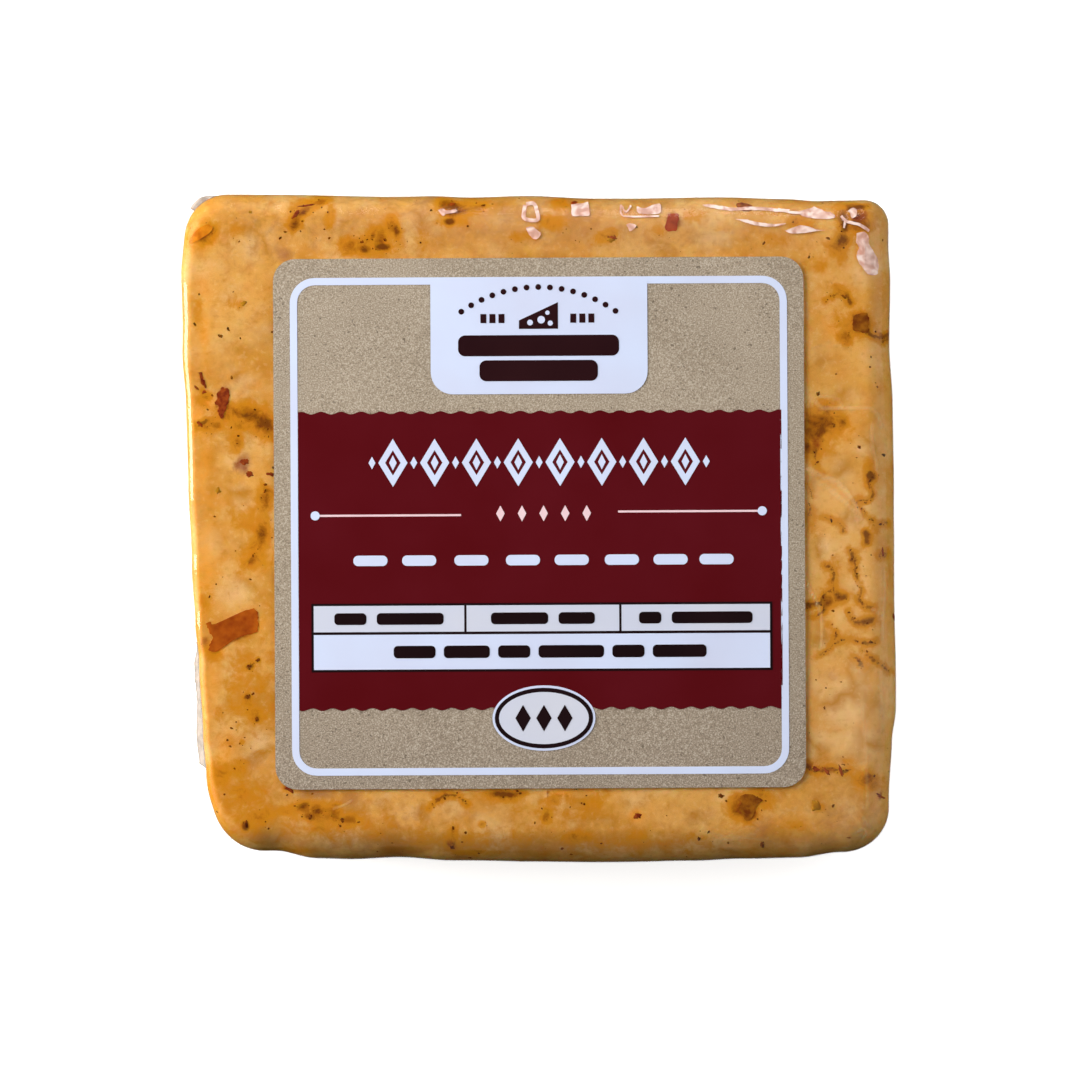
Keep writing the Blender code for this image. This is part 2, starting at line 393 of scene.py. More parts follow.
key = soft_light("key_at_the_left", (-0.46, 0.28, 0.30), (0.60, 0.24), 9.4, (1.0, 0.98, 0.94))
key.visible_glossy = False
fill = soft_light("fill_at_the_right", (0.50, 0.20, 0.27), (0.50, 0.40), 3.0, (1.0, 0.98, 0.95))
fill.visible_glossy = False
low = soft_light("low_light_at_the_left", (-0.60, 0.0, 0.09), (0.60, 0.16), 8.0, (1.0, 0.95, 0.86))
low.visible_glossy = False
# The cream line down the left rim is the image of one tall, narrow light
soft_light("strip_at_the_left", (-0.52, 0.022, 0.20), (0.095, 0.36), 11.0, (1.0, 0.97, 0.88))

# %% Window panes beyond the top edge
# Each pane shows in the film along the top rim, at the places given here in the photograph's pixels
PANES = ((438, 455), (522, 540), (571, 590), (620, 662), (705, 835), (843, 868))
PANE_DISTANCE = 0.58
PANE_LOW, PANE_HIGH = 0.10, 0.42
PANE_RADIANCE = 1.8

for number, (left, right) in enumerate(PANES):
    # A mirror image on the rim stands part of the way from the pack's middle to the pane
    spread = 1 + math.hypot(PANE_DISTANCE, (PANE_LOW + PANE_HIGH) / 2) / CAMERA_HEIGHT
    middle = ((left + right) / 2 - PICTURE_MIDDLE[0]) * PIXEL * spread
    width = (right - left) * PIXEL * spread
    place = (middle, PANE_DISTANCE, (PANE_LOW + PANE_HIGH) / 2)
    size = (width, PANE_HIGH - PANE_LOW)
    soft_light(f"window_pane_{number}", place, size, PANE_RADIANCE, (1.0, 0.90, 0.88))

# %% Walls of the room
WALL_RADIANCE = 1.25
# Pale walls that fade over a range of one direction, from one share of their light to another
WALL_FADES = (
    # Dark at the floor
    ("Z", -0.02, 0.06, 0.04, 1.0),
    # Dark at the ceiling
    ("Z", 0.45, 0.92, 1.0, 0.05),
    # Nothing bright below the near edge
    ("Y", -0.75, 0.15, 0.15, 1.0),
    # Dimmer far beyond the top edge
    ("Y", 0.9, 0.1, 0.2, 1.0),
    # Dimmer at the right
    ("X", 0.9, 0.1, 0.4, 1.0),
)
world = bpy.data.worlds.new("studio")
world.use_nodes = True
tree = world.node_tree
tree.nodes.clear()
toward = add_node(tree, "ShaderNodeTexCoord").outputs["Generated"]
split = add_node(tree, "ShaderNodeSeparateXYZ", {"Vector": toward})
strength = WALL_RADIANCE
for axis, low, high, start, end in WALL_FADES:
    fade = add_node(tree, "ShaderNodeMapRange", {
        "Value": split.outputs[axis], "From Min": low, "From Max": high, "To Min": start, "To Max": end,
    }, interpolation_type="SMOOTHSTEP")
    dimmed = {0: strength, 1: fade.outputs["Result"]}
    strength = add_node(tree, "ShaderNodeMath", dimmed, operation="MULTIPLY").outputs[0]
walls = add_node(tree, "ShaderNodeBackground", {"Color": (1.0, 0.97, 0.95, 1.0), "Strength": strength})
add_node(tree, "ShaderNodeOutputWorld", {"Surface": walls.outputs[0]})
bpy.context.scene.world = world
bpy.context.scene.view_settings.view_transform = "Standard"
print("camera", tuple(round(c, 4) for c in camera.location), "lens", LENS)

# %% [markdown]
# ## The marks in the cheese
#
# Ground spice and chopped chili bleed into the curd around them. Close to, the block shows
# soft ochre stains, brown-red blots round the chili, and pale lumps of plain curd with darker
# joints between them. These soft marks follow the surface, so they are painted into the
# cheese as point attributes: ochre, red-brown, pale curd and the curd's joints in one, and
# broad tints of the whole cheese in another. Those broad tints are partly painted light: a
# painted shade darkens the bottom band, the top rim and the corners, and a painted glow
# brightens the left edge. Each list below gives: middle in the photograph, half-width and
# half-height in pixels, tilt in degrees, and strength.

# %% Lists of marks seen on the front
# The last six marks are broad and weak: they darken the lower left and the bottom band towards amber, a painted shade
OCHRE_STAINS = (
    (856, 206, 15, 5, 0, 0.9), (842, 218, 9, 15, 0, 1.0), (304, 210, 20, 6, 38, 1.0),
    (318, 202, 14, 5, 20, 1.0), (372, 240, 26, 14, 20, 0.7), (392, 228, 8, 14, 0, 0.7),
    (456, 208, 20, 11, 0, 0.8), (205, 232, 16, 11, 30, 0.6), (266, 424, 12, 18, 0, 0.9),
    (248, 520, 18, 14, 0, 0.55), (256, 560, 12, 12, 0, 0.6), (870, 478, 7, 8, 0, 0.9),
    (868, 502, 8, 4, 20, 0.8), (838, 598, 9, 7, 0, 0.9), (826, 600, 10, 11, 0, 0.7),
    (812, 605, 9, 5, 0, 0.9), (882, 555, 8, 5, -20, 0.8), (855, 560, 7, 6, 0, 0.7),
    (820, 425, 26, 22, 0, 0.9), (815, 452, 9, 10, 0, 0.9), (744, 806, 18, 16, 0, 1.0),
    (306, 812, 12, 9, 0, 0.9), (330, 815, 14, 10, 0, 0.8), (262, 424, 12, 12, 0, 0.9),
    (240, 424, 16, 9, 10, 0.8), (264, 500, 10, 18, 0, 0.6), (258, 545, 14, 12, 0, 0.6),
    (225, 416, 12, 10, 0, 0.6), (206, 426, 8, 6, 0, 0.8), (206, 397, 9, 6, 0, 0.6),
    (263, 532, 10, 20, 0, 0.8), (308, 205, 22, 8, 25, 0.9), (296, 222, 8, 14, -20, 0.8),
    (350, 246, 16, 11, 0, 0.55), (380, 245, 26, 13, 10, 0.5), (395, 232, 7, 12, 20, 0.55),
    (330, 215, 7, 16, 0, 0.45), (445, 204, 14, 9, 20, 0.75), (470, 205, 22, 8, 0, 0.75),
    (452, 222, 20, 8, 5, 0.45), (552, 222, 16, 10, 0, 0.6), (606, 236, 14, 8, 20, 0.6),
    (560, 205, 10, 10, 0, 0.5), (236, 236, 12, 18, 0, 0.35), (204, 234, 16, 13, 30, 0.6),
    (197, 312, 8, 20, 0, 0.35), (238, 306, 10, 8, 0, 0.3), (247, 415, 26, 12, -15, 0.85),
    (262, 430, 14, 14, 0, 0.7), (213, 425, 16, 9, 0, 0.6), (236, 445, 9, 18, -20, 0.5),
    (204, 398, 8, 14, 0, 0.4), (263, 520, 9, 26, 0, 0.45), (244, 560, 10, 16, 0, 0.3),
    (207, 600, 8, 12, 0, 0.35), (212, 655, 12, 10, 0, 0.6), (250, 664, 10, 7, 20, 0.4),
    (257, 716, 12, 10, 0, 0.55), (236, 726, 12, 10, 0, 0.4), (222, 775, 14, 20, 0, 0.5),
    (238, 768, 12, 16, 0, 0.4), (258, 815, 24, 12, 0, 0.5), (310, 812, 36, 12, 0, 0.7),
    (345, 822, 24, 10, 0, 0.6), (376, 836, 14, 9, 0, 0.3), (283, 852, 24, 6, 0, 0.6),
    (452, 838, 9, 18, 0, 0.75), (504, 797, 24, 7, 0, 0.55), (560, 800, 26, 7, 0, 0.5),
    (594, 800, 18, 10, 0, 0.45), (577, 838, 24, 9, 0, 0.45), (470, 852, 30, 5, 0, 0.5),
    (745, 807, 17, 15, 0, 1.0), (762, 800, 10, 14, 40, 0.7), (816, 807, 8, 6, 0, 0.55),
    (868, 780, 15, 11, 0, 0.75), (852, 762, 10, 6, 0, 0.4), (795, 825, 14, 8, 0, 0.3),
    (840, 243, 16, 18, -20, 0.62), (858, 222, 15, 14, 0, 0.9), (800, 222, 16, 8, 0, 0.55),
    (779, 212, 22, 6, 5, 0.4), (820, 262, 12, 14, 0, 0.3), (840, 290, 16, 10, 0, 0.45),
    (858, 324, 22, 14, -20, 0.65), (846, 338, 9, 12, 0, 0.6), (828, 300, 9, 6, 0, 0.35),
    (818, 432, 24, 22, 0, 0.95), (810, 448, 14, 12, 0, 0.9), (838, 424, 12, 10, 0, 0.55),
    (868, 470, 8, 16, 0, 0.45), (850, 440, 10, 6, 0, 0.3), (830, 600, 14, 9, 0, 0.75),
    (812, 605, 8, 6, 0, 0.55), (856, 570, 10, 8, 0, 0.4), (851, 640, 22, 10, -10, 0.35),
    (870, 622, 10, 6, 0, 0.45), (836, 560, 8, 20, 0, 0.3), (812, 520, 8, 20, 0, 0.35),
    (690, 216, 12, 8, 0, 0.45), (658, 230, 16, 8, 0, 0.35), (700, 840, 22, 8, 0, 0.3),
    (640, 838, 18, 8, 0, 0.3), (880, 380, 6, 20, 0, 0.25), (770, 240, 20, 8, 0, 0.3),
    (520, 236, 26, 8, 0, 0.3), (420, 240, 14, 9, 0, 0.3), (366, 248, 9, 5, 0, 1.2),
    (382, 247, 12, 4, 0, 1.2), (396, 232, 5, 9, 15, 1.1), (373, 236, 4, 4, 0, 1.2),
    (456, 206, 16, 6, 0, 1.1), (449, 222, 8, 4, 0, 1.1), (506, 794, 21, 4, 0, 1.2),
    (303, 807, 9, 5, 20, 1.0), (309, 816, 8, 6, 0, 1.1), (318, 811, 9, 4, -20, 0.95),
    (348, 821, 12, 8, 0, 0.85), (245, 826, 5, 7, 10, 1.1), (250, 667, 5, 3, 0, 1.2),
    (258, 660, 3, 3, 30, 1.1), (247, 697, 4, 3, 0, 1.1), (257, 720, 3, 3, 0, 1.2), (242, 742, 3, 3, 0, 1.1),
    (844, 222, 7, 14, 0, 1.2), (842, 240, 12, 10, 0, 0.95), (856, 207, 14, 4, 10, 1.15),
    (482, 824, 5, 5, 0, 0.9), (547, 817, 6, 9, 0, 1.0), (245, 690, 34, 70, 0, 0.30),
    (240, 806, 40, 34, -30, 0.42), (330, 826, 70, 20, 5, 0.34), (470, 838, 90, 16, 0, 0.30),
    (640, 846, 110, 12, 0, 0.28), (560, 812, 60, 12, 0, 0.26),
)
RED_BLOTS = (
    (297, 213, 5, 11, -25, 0.55), (322, 203, 12, 3, 10, 0.5), (202, 234, 11, 6, 25, 0.7),
    (222, 400, 9, 15, -5, 0.8), (202, 380, 4, 10, 15, 0.7), (238, 466, 10, 12, 0, 0.55),
    (245, 470, 6, 8, 0, 0.6), (233, 630, 28, 14, 18, 0.7), (205, 642, 9, 10, 0, 0.5),
    (210, 650, 6, 8, 0, 0.4), (289, 788, 7, 4, 0, 0.8), (673, 221, 10, 11, 0, 0.9),
    (745, 808, 10, 9, 0, 0.9), (752, 814, 8, 7, 0, 0.7), (637, 816, 6, 6, 0, 0.6),
    (859, 216, 14, 9, 10, 0.7), (861, 321, 12, 10, 0, 0.85), (882, 335, 9, 3, -35, 0.7),
    (816, 443, 12, 10, -20, 0.6), (883, 551, 4, 10, 0, 0.45), (826, 770, 16, 5, 0, 0.65),
    (881, 796, 3, 9, -15, 0.7), (452, 203, 7, 4, 0, 0.5), (826, 512, 4, 10, 20, 0.4),
    (548, 794, 3, 6, 0, 0.8), (562, 796, 10, 4, 0, 0.45), (809, 766, 10, 5, 10, 0.5),
    (795, 212, 8, 5, 20, 0.5), (866, 240, 9, 5, 0, 0.4),
)
PALE_CURD = (
    (255, 240, 26, 22, 20, 0.5), (270, 330, 22, 26, 0, 0.5), (244, 375, 18, 16, 0, 0.5),
    (240, 500, 20, 22, 0, 0.55), (214, 540, 12, 18, 0, 0.5), (240, 590, 22, 16, 0, 0.6),
    (250, 690, 20, 16, 0, 0.55), (262, 745, 16, 18, 0, 0.65), (340, 225, 16, 16, 0, 0.45),
    (420, 212, 20, 10, 0, 0.55), (500, 220, 18, 14, 0, 0.5), (590, 212, 10, 10, 0, 0.5),
    (720, 240, 30, 12, 0, 0.6), (660, 246, 24, 8, 0, 0.5), (820, 360, 14, 14, 0, 0.55),
    (860, 272, 14, 12, 0, 0.4), (845, 395, 22, 14, 0, 0.5), (866, 445, 14, 16, 0, 0.7),
    (842, 470, 12, 14, 0, 0.75), (850, 520, 12, 12, 0, 0.8), (822, 548, 10, 14, 0, 0.8),
    (856, 590, 14, 14, 0, 0.75), (848, 615, 12, 8, 0, 0.7), (822, 640, 12, 16, 0, 0.7),
    (860, 665, 16, 16, 0, 0.75), (850, 702, 30, 26, 0, 1.0), (858, 745, 24, 20, 0, 0.9),
    (818, 740, 14, 16, 0, 0.6), (700, 815, 24, 10, 0, 0.4), (480, 822, 20, 12, 0, 0.5),
    (420, 812, 22, 10, 0, 0.5), (600, 820, 24, 8, 0, 0.4), (780, 780, 24, 8, 0, 0.4),
    (856, 815, 20, 14, 0, 0.45), (380, 808, 14, 8, 0, 0.4), (230, 700, 10, 18, 0, 0.35),
)

# %% Lists of broad tints, with painted shade and painted light among them: browner cheese, plum-coloured smudges round chili, and orange bleeds
# Brown cheese round stains and chili; the broad marks are painted shade, darkening the bottom band, the top rim and the
# corners
BROWN_CHEESE_AND_PAINTED_SHADE = (
    (402, 851, 34, 8, 0, 0.9), (728, 851, 26, 6, 0, 0.6), (268, 815, 34, 20, 20, 0.6),
    (336, 812, 40, 14, 0, 0.6), (245, 432, 30, 26, 0, 0.45), (240, 548, 26, 16, 0, 0.35),
    (264, 530, 12, 26, 0, 0.6), (366, 246, 36, 12, 0, 0.45), (462, 858, 30, 6, 0, 0.5),
    (560, 862, 60, 5, 0, 0.4), (868, 214, 24, 12, 10, 0.5), (845, 655, 34, 12, 0, 0.3),
    (540, 842, 340, 22, 0, 0.6), (540, 200, 340, 9, 0, 0.42), (884, 800, 16, 60, 0, 0.35),
    (868, 332, 22, 12, 0, 0.45), (806, 815, 40, 14, 0, 0.25), (540, 834, 420, 60, 0, 0.42),
    (250, 810, 90, 60, 0, 0.5), (240, 710, 60, 110, 0, 0.42), (250, 240, 80, 70, 0, 0.34),
    (235, 400, 60, 110, 0, 0.36), (830, 800, 80, 60, 0, 0.48), (600, 866, 200, 6, 0, 0.4),
    (300, 853, 44, 6, 10, 0.4),
)
# Plum smudges round chili; the two broadest marks are painted shade, darkening the top band and the lower left
PLUM_SMUDGES_AND_PAINTED_SHADE = (
    (243, 464, 9, 12, 0, 0.85), (296, 226, 6, 8, 0, 0.6), (281, 252, 16, 9, -30, 0.55),
    (681, 222, 12, 11, 0, 0.5), (424, 200, 18, 6, 20, 0.5), (341, 201, 16, 4, 0, 0.4),
    (252, 700, 12, 8, 0, 0.35), (252, 760, 14, 16, 0, 0.35), (315, 795, 30, 7, 0, 0.55),
    (352, 800, 18, 14, 0, 0.45), (320, 828, 18, 8, 0, 0.45), (430, 792, 40, 5, 0, 0.3),
    (760, 828, 20, 16, 0, 0.45), (744, 796, 14, 6, 0, 0.4), (832, 676, 12, 8, 0, 0.35),
    (820, 616, 8, 14, 0, 0.35), (812, 486, 8, 16, 0, 0.45), (840, 822, 40, 20, 0, 0.3),
    (848, 768, 14, 8, 0, 0.3), (806, 700, 5, 60, 0, 0.35), (856, 284, 8, 12, 0, 0.25),
    (210, 312, 12, 8, 0, 0.3), (300, 240, 10, 10, 0, 0.3), (540, 226, 400, 40, 0, 0.43),
    (330, 825, 120, 30, 0, 0.38),
)
# Orange bleeds round the peppers and chili; the tall marks down the left edge are a painted glow, brighter orange where
# light from the left enters the cheese
ORANGE_BLEEDS_AND_PAINTED_GLOW = (
    (214, 651, 9, 9, 0, 1.0), (258, 626, 8, 9, 0, 0.5), (206, 236, 15, 14, 30, 0.6),
    (198, 420, 10, 20, 0, 0.55), (206, 402, 14, 14, 0, 0.5), (212, 690, 10, 40, 0, 0.45),
    (222, 760, 14, 40, -15, 0.5), (206, 560, 12, 60, 0, 0.4), (204, 470, 10, 40, 0, 0.4),
    (205, 330, 8, 60, 0, 0.35), (213, 500, 24, 12, 0, 0.3), (236, 815, 10, 16, -30, 0.4),
    (637, 816, 9, 8, 0, 0.6), (843, 432, 16, 18, 0, 0.35), (862, 252, 12, 10, 0, 0.4),
    (590, 790, 10, 6, 0, 0.5), (560, 793, 16, 5, 0, 0.6), (290, 789, 10, 5, 0, 0.7),
    (845, 330, 24, 20, 0, 0.3), (847, 610, 20, 30, 0, 0.25),
)

# %% [markdown]
# The curd's joints show as thin brown lines, with specks of spice caught along them. Each is a
# short chain of points.

# %% Joints between the lumps of curd
CURD_JOINTS = (
    ((816, 449), (815, 459), (817, 469), (820.5, 474)),
    ((869, 472), (869, 485), (873.6, 493), (870, 499), (864, 501), (859, 500)),
    ((854, 501), (864, 512), (872, 521), (875, 528)), ((879, 524), (883, 524.5), (887, 523.5)),
    ((823, 517), (832, 520), (842, 525.5), (843, 531)),
    ((848, 549), (855, 560), (855, 570), (857.6, 579), (861.6, 590), (859, 598), (864, 605), (873.6, 608)),
    ((825.6, 565), (833, 570), (834, 576), (833, 587), (838, 597), (845, 599)),
    ((832, 590), (824, 595), (821, 602), (824, 611), (816, 616)), ((808, 486), (812, 500), (806, 520)),
    ((848, 612), (856, 622), (868, 621), (874, 618)), ((844, 640), (834, 644), (828, 650), (818, 656)),
    ((850, 638), (860, 642), (870, 644), (878, 640)), ((862, 650), (872, 660), (880, 664), (890, 672)),
    ((852, 656), (858, 660), (864, 668)), ((828, 624), (836, 632), (834, 642)),
    ((866, 330), (876, 336), (884, 342), (890, 338)),
    ((806, 766), (818, 772), (830, 768), (842, 772), (850, 770)),
    ((430, 808), (437, 801), (446, 795), (458, 796), (466, 804)), ((826, 300), (838, 294), (850, 300)),
)

# Short dark marks where a joint is thick with spice
DARK_LINES = (
    ((871, 474), (873, 479)), ((836, 594), (840, 599), (844, 597)), ((806, 605), (818, 604)),
    ((864, 622), (871, 621)), ((880, 556), (886, 552)), ((868, 332), (873, 336), (881, 337), (890, 334)),
    ((847, 296), (850, 303)), ((866, 533), (867, 541)), ((206, 421), (199, 425)),
)


# %% Paint the marks as point values
def tilted_distance(points, mark):
    """How far points lie from a mark's middle, where 1 is its edge."""
    px, py, half_x, half_y, tilt, _ = mark
    x, y = from_photo(px, py)
    turn = math.radians(tilt)
    dx, dy = points[:, 0] - x, points[:, 1] - y
    across = (dx * math.cos(turn) + dy * math.sin(turn)) / (half_x * PIXEL)
    upward = (dy * math.cos(turn) - dx * math.sin(turn)) / (half_y * PIXEL)
    return np.hypot(across, upward)


def painted(points, marks, sharpness=1.1):
    """The strongest of the marks at each point, from 0 to 1."""
    value = np.zeros(len(points))
    for mark in marks:
        reach = tilted_distance(points, mark)
        value = np.maximum(value, mark[5] * np.exp(-(reach ** 2) * sharpness))
    return value


FRONT_STARTS = 10 * MM
FRONT_BLEND = 6 * MM


def front_share(points):
    """1 on the front and its rim, and 0 low on the walls and on the back."""
    return eased((points[:, 2] - FRONT_STARTS) / FRONT_BLEND)


def smooth_chain(chain, steps=24):
    """Places evenly along a Catmull-Rom curve through the chain."""
    ends = [chain[0], *chain, chain[-1]]
    found = []
    for step in range(steps + 1):
        run = step / steps * (len(chain) - 1)
        first = min(int(run), len(chain) - 2)
        share = run - first
        a, b, c, d = (np.array(ends[first + i], float) for i in range(4))
        found.append(0.5 * (2 * b + (c - a) * share + (2 * a - 5 * b + 4 * c - d) * share ** 2
                            + (3 * b - a - 3 * c + d) * share ** 3))
    return found


def chain_distance(points, chain):
    """The distance from points to a chain of places in the photograph, in metres."""
    flat = points[:, :2]
    nearest = np.full(len(points), 1.0)
    ends = [np.array(from_photo(*place)) for place in chain]
    for start, end in zip(ends, ends[1:]):
        run = end - start
        share = np.clip((flat - start) @ run / (run @ run), 0, 1)
        nearest = np.minimum(nearest, np.linalg.norm(flat - start - share[:, None] * run, axis=1))
    return nearest


# %% [markdown]
# The sides and the back aren't in the photograph. They are the same cheese, so they get marks
# of the same kinds and sizes, scattered by a seeded draw.

# %% Scattered marks for the hidden faces
SCATTER_SEED = 11
HIDDEN_BLOTS = 230


def scattered_blots(count, seed):
    """Places on the walls and the back with a radius, a strength and a kind."""
    draw = random.Random(seed)
    found = []
    while len(found) < count:
        x = draw.uniform(-HALF_WIDTH, HALF_WIDTH)
        y = draw.uniform(-HALF_HEIGHT, HALF_HEIGHT)
        z = draw.uniform(0, THICKNESS)
        face = draw.choice("back back back left right top bottom".split())
        place = {
            "back": (x, y, 0.0),
            "left": (-HALF_WIDTH, y, z),
            "right": (HALF_WIDTH, y, z),
            "top": (x, HALF_HEIGHT, z),
            "bottom": (x, -HALF_HEIGHT, z),
        }[face]
        kind = draw.choice("ochre ochre ochre red pale pale".split())
        found.append((place, draw.uniform(1.0, 3.6) * MM, draw.uniform(0.3, 0.95), kind))
    return found


def scattered_value(points, blots, kind):
    value = np.zeros(len(points))
    for place, radius, strength, sort in blots:
        if sort == kind:
            away = np.linalg.norm(points - np.array(place), axis=1) / radius
            value = np.maximum(value, strength * np.exp(-(away ** 2)))
    return value


# %% [markdown]
# ## The cheese's finish
#
# It is a washed, golden yellow cheese, cut and pressed smooth against the film. Light goes a
# little way into it, so stains look a little soft. Its colour is a golden
# ground with paler curd, and the painted channels lay ochre, red-brown and joint lines over
# it. Fine noise breaks up every painted edge, since real stains have ragged ones.

# %% Cheese material
cheese_look, tree = new_material("golden_spiced_cheese")
place = add_node(tree, "ShaderNodeTexCoord").outputs["Object"]
ragged = add_node(tree, "ShaderNodeTexNoise", {
    "Vector": place, "Scale": grain(2.0), "Detail": 6.0, "Roughness": 0.68, "Distortion": 0.4,
})
broad = add_node(tree, "ShaderNodeTexNoise", {"Vector": place, "Scale": grain(16), "Detail": 3.0})
mottle = add_node(tree, "ShaderNodeTexNoise", {
    "Vector": place, "Scale": grain(7), "Detail": 4.0, "Roughness": 0.55,
})
fine = add_node(tree, "ShaderNodeTexNoise", {"Vector": place, "Scale": grain(0.7), "Detail": 3.0})
warp = add_node(tree, "ShaderNodeTexNoise", {"Vector": place, "Scale": grain(5), "Detail": 3.0})
centred = {0: warp.outputs["Color"], 1: (0.5, 0.5, 0.5)}
warp = add_node(tree, "ShaderNodeVectorMath", centred, operation="SUBTRACT")
warp = add_node(tree, "ShaderNodeVectorMath", {0: warp.outputs[0], "Scale": 5 * MM}, operation="SCALE")
warped = add_node(tree, "ShaderNodeVectorMath", {0: place, 1: warp.outputs[0]}, operation="ADD")
lumps = add_node(tree, "ShaderNodeTexVoronoi", {
    "Vector": warped.outputs[0], "Scale": grain(7.5), "Randomness": 1.0,
}, feature="DISTANCE_TO_EDGE")
marks = add_node(tree, "ShaderNodeAttribute", attribute_name="marks")
split = add_node(tree, "ShaderNodeSeparateColor", {"Color": marks.outputs["Color"]})


def ragged_mask(source, low, high, amount):
    """A painted channel with ragged edges, stretched from low..high to 0..1."""
    wobble = add_node(tree, "ShaderNodeMath", {0: ragged.outputs["Fac"], 1: 0.5}, operation="SUBTRACT")
    wobble = add_node(tree, "ShaderNodeMath", {0: wobble.outputs[0], 1: amount}, operation="MULTIPLY")
    moved = add_node(tree, "ShaderNodeMath", {0: source, 1: wobble.outputs[0]}, operation="ADD")
    return add_node(tree, "ShaderNodeMapRange", {
        "Value": moved.outputs[0], "From Min": low, "From Max": high,
    }, interpolation_type="SMOOTHSTEP").outputs["Result"]


# The second attribute holds broad tints of the cheese, with painted shade in red and green and a painted glow in alpha
# among them
tints_and_painted_light = add_node(tree, "ShaderNodeAttribute", attribute_name="tints_and_painted_light")
shade_split = add_node(tree, "ShaderNodeSeparateColor", {"Color": tints_and_painted_light.outputs["Color"]})
broad_share = stretched(tree, broad.outputs["Fac"], 0.38, 0.62)
ground = blend_colour(tree, linear("E3AE5C"), linear("DA9B3C"), broad_share)
ground = layered(tree, ground, (
    ("EAC486", stretched(tree, mottle.outputs["Fac"], 0.52, 0.68), 0.7),
    ("C98A22", stretched(tree, mottle.outputs["Fac"], 0.47, 0.33), 0.7),
))
# Lumps of curd: pale in the middle, ochre where the spice and whey ran between them
pale_share = ragged_mask(split.outputs["Blue"], 0.05, 0.7, 1.0)
lump_share = stretched(tree, lumps.outputs["Distance"], 0.01, 0.24)
lump_colour = blend_colour(tree, linear("BE842C"), linear("EBC68E"), lump_share)
lump_strength = add_node(tree, "ShaderNodeMapRange", {"Value": pale_share, "To Min": 0.12, "To Max": 0.85})
ground = blend_colour(tree, ground, lump_colour, lump_strength.outputs["Result"])
# Stains lie thickest between the lumps
between = add_node(tree, "ShaderNodeMapRange", {
    "Value": lumps.outputs["Distance"], "From Max": 0.35, "To Min": 1.35, "To Max": 0.75,
})
ochre_between = {0: split.outputs["Red"], 1: between.outputs["Result"]}
seeped = add_node(tree, "ShaderNodeMath", ochre_between, operation="MULTIPLY").outputs[0]
ground = layered(tree, ground, (
    # Fine grain, darker and paler
    ("BE842C", stretched(tree, fine.outputs["Fac"], 0.56, 0.70), 0.3),
    ("F0CE94", stretched(tree, fine.outputs["Fac"], 0.42, 0.32), 0.2),
    # The broad tints, partly painted light: orange, with a painted glow down the left edge; brown and plum, with
    # painted shade along the bottom, the top and the corners
    ("F6A62C", ragged_mask(tints_and_painted_light.outputs["Alpha"], 0.0, 0.8, 0.8), 0.85),
    ("9A5E06", ragged_mask(shade_split.outputs["Red"], 0.1, 0.95, 1.0), 0.75),
    ("A06A50", ragged_mask(shade_split.outputs["Green"], 0.1, 0.85, 0.7), 0.8),
    # A stain is amber at its rim, then brown, then dark in its core
    ("CE8804", ragged_mask(seeped, 0.10, 0.46, 1.2), 0.88),
    ("A36000", ragged_mask(seeped, 0.48, 0.95, 1.8), 0.85),
    ("6A3000", ragged_mask(seeped, 0.85, 1.30, 2.6), 0.75),
    # Red-brown blots round the chili, and the joints
    ("8E3204", ragged_mask(split.outputs["Green"], 0.28, 0.80, 1.1), 0.85),
    ("824A06", ragged_mask(marks.outputs["Alpha"], 0.40, 0.85, 2.2), 0.8),
))
body = add_node(tree, "ShaderNodeBsdfPrincipled", {
    "Base Color": ground, "Roughness": 0.42, "Subsurface Weight": 1.0, "Subsurface Radius": (1.0, 0.45, 0.16),
    "Subsurface Scale": 0.3 * MM, "Specular IOR Level": 0.3,
})
add_node(tree, "ShaderNodeOutputMaterial", {"Surface": body.outputs[0]})

# %% [markdown]
# ## The block of cheese
#
# The block is a cube cut into rows and bent by the form above, then drawn in along its
# normals by the film's gap. The painted marks need close points, but only where the cheese
# shows, so the faces of the front outside the label are cut finer than the rest.

# %% Cheese block
FILM_GAP = 0.08 * MM
# The film stands off the front by this much more, because chips of spice stand up there
FRONT_FILM_GAP = 0.08 * MM
CHEESE_ROWS = (96, 90, 20)
FINER_CUTS = 2
JOINT_HALF_WIDTH = 0.24 * MM
DARK_HALF_WIDTH = 0.32 * MM
JOINT_HALO = 0.8 * MM


def scattered(kind):
    """Marks of one kind on the walls and the back."""
    return (1 - on_front) * scattered_value(points, blots, kind)


cheese = new_piece("cheese_block", block_bmesh(*CHEESE_ROWS, FINER_CUTS), cheese_look)
set_points(cheese.data, block_form(points_of(cheese.data)))
normals = points_of(cheese.data, "normal")
gap = FILM_GAP + FRONT_FILM_GAP * np.maximum(normals[:, 2], 0) ** 2
points = points_of(cheese.data) - gap[:, None] * normals
set_points(cheese.data, points)
on_front = front_share(points)
blots = scattered_blots(HIDDEN_BLOTS, SCATTER_SEED)
joints = np.zeros(len(points))
halos = np.zeros(len(points))
for chains, half_width, strength in (
    (CURD_JOINTS, JOINT_HALF_WIDTH, 0.8), (DARK_LINES, DARK_HALF_WIDTH, 1.2),
):
    for chain in chains:
        away = chain_distance(points, smooth_chain(chain))
        joints = np.maximum(joints, strength * np.exp(-((away / half_width) ** 2)))
        halos = np.maximum(halos, 0.6 * strength * np.exp(-((away / JOINT_HALO) ** 2)))
ochre = np.maximum(painted(points, OCHRE_STAINS), halos)
store_values(cheese.data, "marks", np.stack([
    on_front * ochre + scattered("ochre"),
    on_front * painted(points, RED_BLOTS) + scattered("red"),
    on_front * painted(points, PALE_CURD) + scattered("pale"),
    on_front * joints,
], 1))
